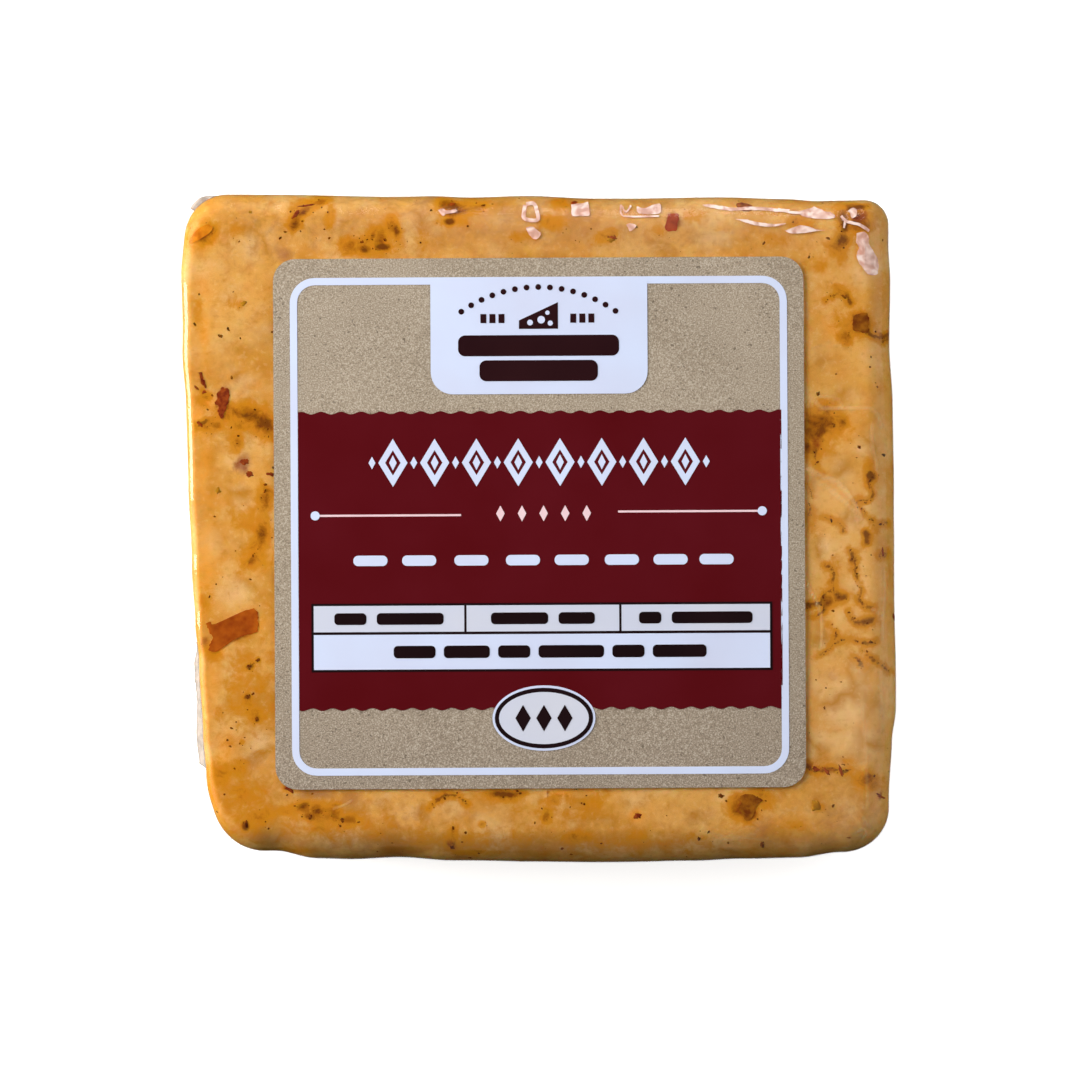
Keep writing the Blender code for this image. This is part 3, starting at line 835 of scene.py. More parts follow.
# Broad tints: brown and plum, partly painted shade; orange, partly a painted glow down the left edge
store_values(cheese.data, "tints_and_painted_light", np.stack([
    on_front * painted(points, BROWN_CHEESE_AND_PAINTED_SHADE, 1.0) + 0.4 * scattered("ochre"),
    on_front * painted(points, PLUM_SMUDGES_AND_PAINTED_SHADE, 1.0),
    on_front * 0,
    on_front * painted(points, ORANGE_BLEEDS_AND_PAINTED_GLOW, 1.0) + 0.4 * scattered("red"),
], 1))
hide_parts("sealed_pack")
print("cheese has", sum(len(face.vertices) - 2 for face in cheese.data.polygons), "triangles")

# %% [markdown]
# ## Spices caught in the cheese
#
# Chopped dried pepper, flakes of chili and ground spice lie against the film, flush with the
# cheese. Each is real geometry: a flattened, uneven chip set into the surface and lined up
# with it. A ray from outside finds where the surface is, so chips on a rounded rim lie on it
# too.

# %% Find the surface and set chips into it
surface = BVHTree.FromObject(cheese, bpy.context.evaluated_depsgraph_get())
DROP_HEIGHT = 50 * MM
CHIP_HALF_THICKNESS = 0.12 * MM
CHIP_STAND = -0.35


def on_the_front(px, py):
    """The point and the normal under a place in the photograph."""
    x, y = from_photo(px, py)
    place, normal, _, _ = surface.ray_cast(Vector((x, y, DROP_HEIGHT)), Vector((0, 0, -1)))
    return place, normal


def add_chip(bm, place, normal, half_sizes, tilt, draw, detail=3, squareness=2.4, ragged=0.3):
    """Adds one uneven flattened chip: half sizes along, across and through, in metres."""
    upright = normal.to_track_quat("Z", "Y").to_matrix().to_4x4()
    turned = upright @ Matrix.Rotation(tilt, 4, "Z")
    seed = draw.uniform(0, 50)
    made = bmesh.ops.create_icosphere(bm, subdivisions=detail, radius=1.0)["verts"]
    for vertex in made:
        x, y, z = vertex.co
        level = max(math.hypot(x, y), 1e-6)
        square = max(abs(x / level) ** squareness + abs(y / level) ** squareness, 0.1) ** (-1 / squareness)
        broad_notch = noise.noise(Vector((x / level * 1.2 + seed, y / level * 1.2, 0)))
        fine_notch = noise.noise(Vector((x / level * 3.1 + seed, y / level * 3.1, 9)))
        reach = square * (1 + ragged * (broad_notch + 0.6 * fine_notch))
        vertex.co = (x * reach * half_sizes[0], y * reach * half_sizes[1], z * half_sizes[2])
    centre = place + normal * half_sizes[2] * CHIP_STAND
    bmesh.ops.transform(bm, matrix=Matrix.Translation(centre) @ turned, verts=made)


# %% [markdown]
# Dried pepper is leathery and slightly translucent: a deep orange to brick red, darker where
# it is thick. Its colour wanders over a millimetre or two.

# %% Pepper and chili materials
def chip_material(name, colours, roughness, gap):
    """A chip's colour wanders between two hex values over this many millimetres."""
    look, chip_tree = new_material(name)
    spot = add_node(chip_tree, "ShaderNodeTexCoord").outputs["Object"]
    wander = add_node(chip_tree, "ShaderNodeTexNoise", {"Vector": spot, "Scale": grain(gap), "Detail": 4.0})
    ramp = add_node(chip_tree, "ShaderNodeValToRGB", {"Fac": wander.outputs["Fac"]})
    ramp.color_ramp.elements[0].position, ramp.color_ramp.elements[1].position = 0.35, 0.65
    for stop, code in zip(ramp.color_ramp.elements, colours):
        stop.color = linear(code)
    bump = add_node(chip_tree, "ShaderNodeBump", {
        "Height": wander.outputs["Fac"], "Strength": 0.3, "Distance": 0.1 * MM,
    })
    skin = add_node(chip_tree, "ShaderNodeBsdfPrincipled", {
        "Base Color": ramp.outputs["Color"], "Roughness": roughness, "Normal": bump.outputs["Normal"],
        "Subsurface Weight": 0.4, "Subsurface Radius": (1.0, 0.3, 0.1), "Subsurface Scale": 0.4 * MM,
        "Specular IOR Level": 0.15,
    })
    add_node(chip_tree, "ShaderNodeOutputMaterial", {"Surface": skin.outputs[0]})
    return look


orange_pepper_look = chip_material("dried_orange_pepper", ("8E3800", "B65A0C"), 0.55, 1.8)
red_pepper_look = chip_material("dried_red_pepper", ("861004", "B03A18"), 0.55, 1.8)
bright_pepper_look = chip_material("fresh_orange_pepper", ("C46A08", "DE8414"), 0.55, 1.6)
chili_look = chip_material("dried_red_chili", ("681804", "A04814"), 0.6, 0.8)
brown_chili_look = chip_material("steeped_brown_chili", ("6E3002", "A0600E"), 0.6, 1.0)
speck_look = chip_material("ground_dark_spice", ("461A02", "8C4C0C"), 0.9, 0.5)
seed_look = chip_material("tan_spice_grains", ("966008", "B07A14"), 0.6, 0.8)

# %% [markdown]
# The larger cut pieces have outlines of their own, with corners where the knife went through.
# Each is drawn as a flat outline in the photograph's pixels, cut along a grid so that it can
# bend, laid on the cheese and given a thin wall.

# %% Cut pieces with outlines of their own
CUT_PEPPER = (
    (206, 624), (209, 622), (213, 624.5), (224, 620), (238, 613.5), (248, 609.5), (255, 609.5),
    (257.5, 612.5), (258, 622), (257.5, 631), (252, 634), (244, 635.5), (234, 640), (224, 647), (215, 652),
    (210, 651), (209, 646), (212.5, 638), (209, 630),
)
CUT_RED_CHILI = (
    (667.5, 214.5), (672, 213.5), (678.5, 215), (678.5, 223), (676.5, 230.5), (671, 231), (665, 229),
)
CUT_BROWN_CHILI = (
    (852, 323), (854, 316), (860, 313.5), (866, 313.5), (869.5, 317), (869, 324), (869.5, 331), (864, 333),
    (856, 331), (853, 328),
)
CUT_STEM = (
    (220, 391), (222, 387), (225, 388.5), (228, 388), (229.5, 394), (228, 402), (226, 408), (224, 415),
    (221, 419), (218, 413), (219, 407), (215, 403), (217, 398), (216, 394),
)
CUT_SLIVER = (
    (198, 372.5), (201, 373), (203.5, 379), (207, 387), (205, 387.5), (202, 384), (200, 379),
)
STEEPED_CORE = (
    (740, 796), (748, 794), (757, 797), (763, 800), (758, 804), (755, 809), (753, 817), (747, 821),
    (743, 815), (739, 808), (741, 802),
)
BRIGHT_PEPPER = (
    (188, 243), (191, 238), (196, 231), (203, 226), (209, 224.5), (212, 227), (210.5, 232), (205, 236),
    (199, 240), (192, 243.5),
)
CUT_GRID = 6.0
CUT_LIFT = 0.02 * MM
CUT_THICKNESS = 0.06 * MM
CUT_EDGE_WOBBLE = 1.8


def laid_on(ground_tree, px, py, lift):
    """The point over a place in the photograph, at a lift over a surface."""
    x, y = from_photo(px, py)
    place, normal, _, _ = ground_tree.ray_cast(Vector((x, y, DROP_HEIGHT)), Vector((0, 0, -1)))
    if place is None:
        place, normal, _, _ = ground_tree.find_nearest(Vector((x, y, THICKNESS * 0.8)))
    return place + normal * lift


def add_outline(bm, outline, ground_tree, lift, seed, wobble=CUT_EDGE_WOBBLE, rounded=5):
    """Adds a face with this outline in the photograph's pixels, cut along a grid and laid on a surface."""
    flat = bmesh.new()
    edge = smooth_chain([*outline, outline[0]], rounded * len(outline))[:-1]
    ring = []
    for px, py in edge:
        off = wobble * noise.noise(Vector((px * 0.35, py * 0.35, seed)))
        ring.append(flat.verts.new((px + off, -py + off * 0.6, 0)))
    flat.faces.new(ring)
    places = np.array([vertex.co for vertex in flat.verts])
    for axis in (0, 1):
        along_axis = Vector((1 - axis, axis, 0))
        place = places[:, axis].min() + CUT_GRID / 2
        while place < places[:, axis].max():
            geometry = flat.verts[:] + flat.edges[:] + flat.faces[:]
            bmesh.ops.bisect_plane(
                flat, geom=geometry, dist=1e-4, plane_co=along_axis * place, plane_no=along_axis,
            )
            place += CUT_GRID
    bmesh.ops.triangulate(flat, faces=flat.faces[:])
    bmesh.ops.recalc_face_normals(flat, faces=flat.faces[:])
    if sum(face.normal.z * face.calc_area() for face in flat.faces) < 0:
        bmesh.ops.reverse_faces(flat, faces=flat.faces[:])
    for vertex in flat.verts:
        vertex.co = laid_on(ground_tree, vertex.co.x, -vertex.co.y, lift)
    laid = bpy.data.meshes.new("laid_outline")
    flat.to_mesh(laid)
    flat.free()
    bm.from_mesh(laid)
    bpy.data.meshes.remove(laid)


def cut_piece(name, outline, material, seed):
    """One cut piece of pepper or chili, laid on the cheese."""
    bm = bmesh.new()
    add_outline(bm, outline, surface, CUT_LIFT, seed)
    return solidify(new_piece(name, bm, material, smooth=False), CUT_THICKNESS, 1.0)


for number, (name, outline, look) in enumerate((
    ("cut_orange_pepper", CUT_PEPPER, orange_pepper_look), ("cut_red_chili", CUT_RED_CHILI, red_pepper_look),
    ("cut_brown_chili", CUT_BROWN_CHILI, brown_chili_look), ("cut_chili_stem", CUT_STEM, chili_look),
    ("cut_chili_sliver", CUT_SLIVER, chili_look), ("bright_orange_pepper", BRIGHT_PEPPER, bright_pepper_look),
    ("steeped_chili_core", STEEPED_CORE, brown_chili_look),
)):
    cut_piece(name, outline, look, number * 2.7)
print("cut pieces made")

# %% Smaller pepper, chili and dark pieces seen on the front
# Middle in the photograph, half length and half width in pixels, and tilt in degrees.
CHILI_PIECES = (
    (244.5, 462, 3.5, 4.5, 0), (249.5, 474, 4, 3, 60), (289, 789, 6, 2, 0), (637.5, 816, 3.5, 3, 60),
    (882, 797, 7, 1.2, 72), (816, 769, 3.5, 2.4, 25), (827, 772, 4.5, 1.8, -15), (841, 771, 5.5, 1.8, -30),
    (296, 214, 5, 2.2, 60), (307, 205, 8, 1.4, 15), (452.5, 203.5, 3.5, 2.2, 10), (613, 238, 3.5, 2, 30),
    (883, 552, 4.5, 1.6, 15), (204, 392, 2.5, 1.6, 60), (200, 424, 4, 1.6, 10), (196.5, 388, 3, 1.4, 10),
    (857, 217, 4, 2, 30), (270.5, 474, 1.8, 4, 0),
)
DARK_SHARE = 0.75
DARK_FLAKES = (
    (220, 336, 3.5, 2, 10), (228, 329, 3, 1.5, 20), (249, 666, 3.5, 1.8, -10), (258, 660, 3, 2, 30),
    (247, 697, 3, 2, 0), (257, 719, 2.5, 2.5, 0), (721, 796, 5, 2.5, 20), (762, 845, 3, 4.5, -10),
    (699, 839, 2, 3, 0), (728, 843, 1.5, 2, 0), (833, 806, 2.5, 2, 0), (246, 825, 2.5, 5, 20),
    (342, 820, 3, 2.5, 0), (310, 817, 4, 2.5, 30), (453, 828, 2, 2.5, 0), (452, 848, 3, 3, 0),
    (562, 849, 2.5, 2, 0), (571, 855, 2, 1.5, 0), (849, 838, 3, 1.2, -20), (240, 856, 2.5, 1.5, -30),
    (726, 801, 1.5, 1.5, 0), (818, 394, 2.5, 3, 70), (836, 374, 1.3, 1.3, 0), (809, 257, 1.5, 2.5, 0),
    (870, 367, 2, 1.2, 40), (871, 357, 1.6, 1, 10), (636, 227, 1.8, 1.5, 0), (591, 229, 1.2, 1.2, 0),
    (884, 455, 2, 3.2, -20), (859, 447, 2, 2.5, 0), (362, 242, 2.5, 2, 0), (385, 240, 2, 2.5, 0),
    (483, 205, 3, 2, 10), (431, 210, 2, 1.8, 0), (272, 332, 1.5, 1.5, 0), (841, 682, 1, 1.6, 20),
    (826, 688, 1.2, 1.2, 0), (816, 680, 1.2, 1.2, 0), (843, 757, 1, 1, 0), (800, 607, 5, 2, 0),
)
TAN_SEEDS = (
    (244, 303, 3.2, 2.2, 30), (218, 491, 3, 3, 0), (816, 806, 6, 5, 30), (611, 240, 3.5, 2.5, 50),
    (250, 212, 2, 1.5, 0),
)


def chips_from(marks, seed, detail=3, squareness=2.4, share=1.0):
    """A bmesh of the chips in a list, each set into the front of the cheese."""
    draw = random.Random(seed)
    bm = bmesh.new()
    for px, py, half_length, half_width, tilt in marks:
        place, normal = on_the_front(px, py)
        if place is None:
            continue
        sizes = (half_length * PIXEL * share, half_width * PIXEL * share, CHIP_HALF_THICKNESS)
        add_chip(bm, place, normal, sizes, math.radians(tilt), draw, detail, squareness, ragged=0.6)
    return bm


# %% [markdown]
# Ground spice is scattered through the whole block. On the front it follows the joints and
# the stains, so its places are drawn round those. Over the hidden faces it is even.

# %% Scattered spice for all faces
SPECK_SEED = 23
EVEN_SPECKS = 800
JOINT_SPECK_GAP = 5.0
JOINT_SPECK_SPREAD = 1.4
STAIN_SPECKS = 2


def random_outside(draw):
    """A point outside the block and the direction to a random point on its middle plane."""
    x, y = draw.uniform(-0.9, 0.9) * HALF_WIDTH, draw.uniform(-0.9, 0.9) * HALF_HEIGHT
    target = Vector((x, y, THICKNESS / 2))
    face = draw.choice("front front back back back side side side".split())
    if face == "front":
        return target + Vector((0, 0, DROP_HEIGHT)), Vector((0, 0, -1))
    if face == "back":
        return target - Vector((0, 0, DROP_HEIGHT)), Vector((0, 0, 1))
    angle = draw.uniform(0, 2 * math.pi)
    outward = Vector((math.cos(angle), math.sin(angle), 0))
    target.z = draw.uniform(1.5 * MM, THICKNESS - 1.5 * MM)
    target.x, target.y = target.x * 0.6, target.y * 0.6
    return target + outward * 150 * MM, -outward


def speck_places(draw):
    """Points and normals for the ground spice, on all faces."""
    found = []
    for _ in range(EVEN_SPECKS):
        place, normal, _, _ = surface.ray_cast(*random_outside(draw))
        if place is not None:
            found.append((place, normal))
    for chain in CURD_JOINTS:
        for start, end in zip(chain, chain[1:]):
            steps = max(1, round(math.dist(start, end) / JOINT_SPECK_GAP))
            for step in range(steps):
                share = (step + draw.random()) / steps
                px = start[0] + (end[0] - start[0]) * share + draw.gauss(0, JOINT_SPECK_SPREAD)
                py = start[1] + (end[1] - start[1]) * share + draw.gauss(0, JOINT_SPECK_SPREAD)
                found.append(on_the_front(px, py))
    for px, py, half_x, half_y, _, _ in OCHRE_STAINS:
        for _ in range(STAIN_SPECKS):
            found.append(on_the_front(draw.gauss(px, half_x * 0.6), draw.gauss(py, half_y * 0.6)))
    return [pair for pair in found if pair[0] is not None]


def specks():
    """All the ground spice as one bmesh of small chips."""
    draw = random.Random(SPECK_SEED)
    bm = bmesh.new()
    for place, normal in speck_places(draw):
        size = (0.06 + 0.15 * draw.random() ** 3) * MM
        sizes = (size * draw.uniform(1.0, 1.9), size, min(size, CHIP_HALF_THICKNESS))
        add_chip(bm, place, normal, sizes, draw.uniform(0, math.pi), draw, detail=1, ragged=0.5)
    return bm


def hidden_chips(seed, count, largest):
    """Chips for the back and the walls, at random places."""
    draw = random.Random(seed)
    bm = bmesh.new()
    while count:
        origin, direction = random_outside(draw)
        place, normal, _, _ = surface.ray_cast(origin, direction)
        if place is None or direction.z < -0.5:
            continue
        length = largest * draw.uniform(0.35, 1.0)
        sizes = (length, length * draw.uniform(0.35, 0.7), CHIP_HALF_THICKNESS)
        add_chip(bm, place, normal, sizes, draw.uniform(0, math.pi), draw, detail=2)
        count -= 1
    return bm


# %% Make the spice pieces
new_piece("red_chili", chips_from(CHILI_PIECES, 2), chili_look)
new_piece("dark_flakes", chips_from(DARK_FLAKES, 3, share=DARK_SHARE), speck_look)
new_piece("tan_seeds", chips_from(TAN_SEEDS, 4), seed_look)
new_piece("ground_spice", specks(), speck_look)
new_piece("hidden_pepper", hidden_chips(5, 12, 2.6 * MM), orange_pepper_look)
new_piece("hidden_chili", hidden_chips(6, 46, 1.5 * MM), chili_look)
print("spice pieces made")

# %% [markdown]
# ## The film
#
# Shrink film is a clear skin some 50 micrometres thick. Its own colour doesn't show, only its
# gloss, so the skin is a single closed surface that lets light through and mirrors a few per
# cent of it, more at a slant. The film is drawn smooth over most of the face. Where it ran out
# of places to go it gathered in soft ridges, which are raised in the mesh itself, and it turned
# slack and a little milky round them. Two point attributes hold that: slack drives a fine
# bump, and the other lays a thin pale bloom over the skin. That bloom is partly the film's own
# milkiness and partly a painted sheen: it stands in for the pale glints along the creases and
# the pale veil over the right side and the top rim.

# %% Film material
film_look, tree = new_material("clear_shrink_film")
place = add_node(tree, "ShaderNodeTexCoord").outputs["Object"]
slack = add_node(tree, "ShaderNodeAttribute", attribute_name="slack").outputs["Fac"]
haze_and_painted_sheen = add_node(tree, "ShaderNodeAttribute", attribute_name="haze_and_painted_sheen").outputs["Fac"]
crinkle = add_node(tree, "ShaderNodeTexNoise", {
    "Vector": place, "Scale": grain(2.6), "Detail": 2.0, "Distortion": 0.6,
})
ripple = add_node(tree, "ShaderNodeTexNoise", {"Vector": place, "Scale": grain(9), "Detail": 1.0})
crinkled = {0: crinkle.outputs["Fac"], 1: slack}
crinkle_height = add_node(tree, "ShaderNodeMath", crinkled, operation="MULTIPLY")
crinkled_and_rippled = {0: crinkle_height.outputs[0], 1: ripple.outputs["Fac"]}
film_height = add_node(tree, "ShaderNodeMath", crinkled_and_rippled, operation="ADD").outputs[0]
film_bump = add_node(tree, "ShaderNodeBump", {
    "Height": film_height, "Strength": 1.0, "Distance": 0.3 * MM,
}).outputs["Normal"]
gloss = add_node(tree, "ShaderNodeBsdfGlossy", {
    "Color": (1, 1, 1, 1), "Roughness": 0.05, "Normal": film_bump,
}).outputs[0]
clear = add_node(tree, "ShaderNodeBsdfTransparent").outputs[0]
fresnel = add_node(tree, "ShaderNodeFresnel", {"IOR": 1.5, "Normal": film_bump}).outputs[0]
# A thin skin has no inside to trap light, so only its outer face mirrors
inner = add_node(tree, "ShaderNodeNewGeometry").outputs["Backfacing"]
outer = add_node(tree, "ShaderNodeMath", {0: 1.0, 1: inner}, operation="SUBTRACT").outputs[0]
mirrored = add_node(tree, "ShaderNodeMath", {0: fresnel, 1: outer}, operation="MULTIPLY").outputs[0]
skin = add_node(tree, "ShaderNodeMixShader", {0: mirrored, 1: clear, 2: gloss})
# A pale bloom: partly the film's milkiness, partly a painted sheen for glints and veil
bloom = add_node(tree, "ShaderNodeBsdfDiffuse", {"Color": linear("F4D8A2")})
skin = add_node(tree, "ShaderNodeMixShader", {0: haze_and_painted_sheen, 1: skin.outputs[0], 2: bloom.outputs[0]})
add_node(tree, "ShaderNodeOutputMaterial", {"Surface": skin.outputs[0]})

# %% Creases, slack places, and haze with a painted sheen seen in the film
# Chains of places in the photograph, the ridge's half-width in pixels, and how strong the pale bloom along it is,
# partly milkiness and partly painted sheen
FILM_CREASES = (
    (((815, 400), (822, 408), (836, 408), (852, 408), (868, 408), (878, 416), (881, 427)), 1.8, 0.22),
    (((820, 396), (834, 398), (842, 404), (838, 409)), 1.4, 0.16),
    (((872, 425), (872, 445), (876, 462), (877, 470)), 1.8, 0.20),
    (((806, 468), (821, 476), (836, 482), (846, 491), (855, 505), (861, 518)), 2.0, 0.30),
    (((818, 483), (828, 488), (840, 498), (851, 508), (858, 521)), 1.6, 0.24),
    (((807, 584), (811, 592), (817, 603)), 0.9, 0.40),
    (((817, 603), (820.5, 615), (822, 630), (820.5, 646)), 1.3, 0.22),
    (((872, 609), (877, 612), (883.4, 617)), 1.2, 0.26),
    (((884, 571), (885, 596), (883, 615), (882.5, 639)), 1.8, 0.20),
    (((880, 672), (881, 700), (883, 732)), 2.2, 0.14),
    (((861, 670), (862, 700), (861, 730), (859, 760)), 7.0, 0.14),
    (((858, 832), (862, 829), (866, 832), (864, 838)), 1.2, 0.30),
    (((863, 818), (868, 826), (872, 828)), 1.2, 0.22),
    (((862, 700), (866, 760), (868, 810)), 1.6, 0.10),
    (((720, 840), (745, 838), (770, 841)), 1.2, 0.16),
    (((706, 832), (728, 836), (756, 835)), 1.0, 0.12),
    (((486, 838), (496, 836), (506, 838)), 1.0, 0.22),
    (((352, 800), (342, 806), (334, 808)), 0.9, 0.24),
    (((812, 348), (830, 344), (850, 350)), 1.6, 0.10),
)
CREASE_RISE = 0.05 * MM
# Middle, half-width and half-height in pixels, tilt in degrees, and strength
SLACK_PLACES = (
    (860, 235, 32, 50, 0, 1.0), (775, 215, 80, 16, 0, 0.45), (640, 212, 30, 14, 0, 0.4),
    (530, 212, 16, 16, 0, 0.5), (450, 210, 16, 9, 0, 0.5), (850, 500, 40, 90, 0, 0.25),
    (862, 828, 30, 20, 0, 0.5), (196, 430, 8, 40, 0, 0.12), (228, 815, 20, 30, -30, 0.3),
    (870, 610, 20, 30, 0, 0.3),
)
# Places of the pale bloom: partly milkiness, partly a painted sheen over the right side and along the top rim
HAZE_AND_SHEEN_PLACES = (
    (850, 706, 42, 60, 0, 0.08), (862, 640, 30, 60, 0, 0.04), (862, 820, 44, 30, 0, 0.06),
    (745, 214, 90, 14, 0, 0.12), (640, 224, 60, 14, 0, 0.08), (884, 236, 14, 40, 0, 0.08),
    (874, 572, 10, 40, 0, 0.06), (842, 520, 26, 60, 0, 0.05), (800, 240, 50, 14, 0, 0.05),
    (812, 500, 14, 30, 0, 0.08),
)

# %% Film skin
FILM_ROWS = (96, 90, 20)
EVERYWHERE_SLACK = 0.05

film = new_piece("film_skin", block_bmesh(*FILM_ROWS, FINER_CUTS), film_look)
set_points(film.data, block_form(points_of(film.data)))
points = points_of(film.data)
on_front = front_share(points)
ridge = np.zeros(len(points))
haze_and_painted_sheen = on_front * painted(points, HAZE_AND_SHEEN_PLACES, 1.0)
for chain, half_width, milk in FILM_CREASES:
    nearness = on_front * np.exp(-((chain_distance(points, smooth_chain(chain)) / (half_width * PIXEL)) ** 2))
    ridge = np.maximum(ridge, nearness)
    haze_and_painted_sheen = haze_and_painted_sheen + milk * nearness
set_points(film.data, points + (CREASE_RISE * ridge)[:, None] * points_of(film.data, "normal"))
slackness = EVERYWHERE_SLACK + on_front * painted(points, SLACK_PLACES, 1.0)
store_values(film.data, "slack", slackness)
store_values(film.data, "haze_and_painted_sheen", haze_and_painted_sheen)
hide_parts("sealed_pack")
film_surface = BVHTree.FromObject(film, bpy.context.evaluated_depsgraph_get())
print("film has", sum(len(face.vertices) - 2 for face in film.data.polygons), "triangles")

# %% [markdown]
# Along the top rim and round the upper right corner the film folded over itself in flat little
# pleats. Doubled film is pinkish white where the skin is clear, with a crisp edge. These pale
# patches sit where the window panes show in the rim, so they are partly real pleats and partly
# a painted reflection of the panes. The pleats are thin outlines laid on the film, some as
# patches and some as narrow ribbons.

# %% Pleats in the film, partly painted reflections of the window panes
FOLD_AND_GLINT_PATCHES = (
    ((438, 210), (443, 208.5), (447, 210.5), (455, 209.5), (456, 212), (450, 213.5), (446, 214), (443, 216),
     (440, 213)),
    ((526, 228), (531, 226.5), (537, 230), (540.5, 235), (536, 239.5), (531, 237), (527, 232)),
    ((571.5, 204), (578, 203.5), (583, 203), (588, 201.5), (589, 208), (589.5, 215.5), (580, 216),
     (572, 215.5)),
    ((637, 206), (645, 208), (652, 205), (660.5, 203.5), (660, 213), (650, 214), (640, 213.5), (637, 211)),
    ((626, 225), (630, 223.5), (636, 225.5), (634, 229), (630, 231), (628, 227.5)),
    ((702, 204.5), (712, 204), (722, 206), (735, 207.5), (750, 206.5), (762, 207), (777, 208.5),
     (790, 209.5), (783, 212), (765, 210.5), (748, 210), (730, 210.5), (716, 208.5), (706, 206)),
    ((800, 211), (812, 207.5), (815, 206.5), (826, 211.5), (832, 212.5), (835, 217.5), (824, 219),
     (808, 217.5), (801, 215)),
    ((735, 219), (745, 219.5), (757, 222), (770, 224), (786, 223.5), (775, 226.5), (760, 226), (748, 223.5)),
    ((784, 231), (792, 228), (800, 225.5), (808, 226.5), (818, 230), (826, 230), (815, 231.5), (805, 233),
     (792, 233.5)),
    ((857, 233), (864, 232), (868, 236), (869, 243), (871.5, 248), (877, 258), (878.5, 268), (877.5, 274),
     (870, 275), (864, 270), (857.5, 260), (857, 253), (859, 247), (856, 241)),
    ((848, 211), (853, 207.5), (857, 210), (856, 216), (852, 218), (850, 214)),
)
FOLD_AND_GLINT_RIBBONS = (
    (((526, 204), (533, 203), (536, 208), (538, 219), (531, 220.5), (524, 218), (524, 211), (525, 205)), 1.9),
    (((621, 204.5), (620.6, 211), (624, 216), (640, 216.6), (659, 216)), 0.9),
    (((622, 206), (626, 212), (631, 205)), 1.0),
    (((778, 209), (790, 212), (802, 213)), 1.3),
    (((841, 216), (846, 221), (852, 223), (860, 225), (869, 231)), 1.4),
    (((845, 221), (844, 228)), 1.0),
)
FOLD_LIFT = 0.03 * MM
FOLD_THICKNESS = 0.02 * MM

# Pinkish white, partly doubled film and partly a painted reflection of the window panes
pleat_and_glint_look, tree = new_material("doubled_film_and_painted_glints")
place = add_node(tree, "ShaderNodeTexCoord").outputs["Object"]
streaks = add_node(tree, "ShaderNodeTexNoise", {"Vector": place, "Scale": grain(1.5), "Detail": 1.5, "Distortion": 0.5})
pleat_bump = add_node(tree, "ShaderNodeBump", {"Height": streaks.outputs["Fac"], "Strength": 0.3, "Distance": 0.1 * MM})
pleat_and_glint_tint = blend_colour(tree, linear("EEBFB0"), linear("FBE6DE"), stretched(tree, streaks.outputs["Fac"], 0.38, 0.66))
milk = add_node(tree, "ShaderNodeBsdfPrincipled", {
    "Base Color": pleat_and_glint_tint, "Roughness": 0.25, "Normal": pleat_bump.outputs["Normal"],
})
clear = add_node(tree, "ShaderNodeBsdfTransparent")
density = add_node(tree, "ShaderNodeMapRange", {
    "Value": streaks.outputs["Fac"], "From Min": 0.34, "From Max": 0.60, "To Min": 0.5, "To Max": 0.92,
})
skin = add_node(tree, "ShaderNodeMixShader", {0: density.outputs[0], 1: clear.outputs[0], 2: milk.outputs[0]})
add_node(tree, "ShaderNodeOutputMaterial", {"Surface": skin.outputs[0]})


def ribbon(chain, half_width):
    """The outline of a narrow band along a chain."""
    places = smooth_chain(chain, 4 * (len(chain) - 1))
    left, right = [], []
    for step, place in enumerate(places):
        run = places[min(step + 1, len(places) - 1)] - places[max(step - 1, 0)]
        across = np.array([-run[1], run[0]]) / np.hypot(*run) * half_width
        left.append(place + across)
        right.append(place - across)
    return [*left, *right[::-1]]


bm = bmesh.new()
for number, outline in enumerate(FOLD_AND_GLINT_PATCHES):
    add_outline(bm, outline, film_surface, FOLD_LIFT, number * 1.7, wobble=0.9)
for chain, half_width in FOLD_AND_GLINT_RIBBONS:
    add_outline(bm, ribbon(chain, half_width), film_surface, FOLD_LIFT, 0.0, wobble=0.5, rounded=1)
pleats = solidify(new_piece("film_pleats_and_painted_glints", bm, pleat_and_glint_look, smooth=False), FOLD_THICKNESS, 1.0)
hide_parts("sealed_pack")
print("film has", len(FOLD_AND_GLINT_PATCHES) + len(FOLD_AND_GLINT_RIBBONS), "pleats")

# %% [markdown]
# ## The bag's sealed end
#
# Before it was shrunk, the film was a bag. Its sealed end was trimmed close and now lies along
# the left wall. Low on that side a narrow flap of it stands off the cheese, and at the upper
# corner a small ear of it pokes out. Doubled, crumpled film scatters light, so it looks milky
# where the single skin looks clear. The flap follows the solid's, and the ear is an outline
# drawn from the photograph that starts inside the corner.

# %% Milky film material
seal_look, tree = new_material("milky_sealed_film")
place = add_node(tree, "ShaderNodeTexCoord").outputs["Object"]
crumple = add_node(tree, "ShaderNodeTexNoise", {"Vector": place, "Scale": grain(1.6), "Detail": 3.0})
seal_bump = add_node(tree, "ShaderNodeBump", {"Height": crumple.outputs["Fac"], "Strength": 0.3, "Distance": 0.2 * MM})
seal_tint = blend_colour(tree, linear("A2978F"), linear("BCB0A6"), stretched(tree, crumple.outputs["Fac"], 0.38, 0.62))
milk = add_node(tree, "ShaderNodeBsdfPrincipled", {
    "Base Color": seal_tint, "Roughness": 0.25, "Normal": seal_bump.outputs["Normal"],
})
clear = add_node(tree, "ShaderNodeBsdfTransparent")
density = add_node(tree, "ShaderNodeMapRange", {
    "Value": crumple.outputs["Fac"], "From Min": 0.3, "From Max": 0.7, "To Min": 0.55, "To Max": 0.85,
})
skin = add_node(tree, "ShaderNodeMixShader", {0: density.outputs[0], 1: clear.outputs[0], 2: milk.outputs[0]})
add_node(tree, "ShaderNodeOutputMaterial", {"Surface": skin.outputs[0]})

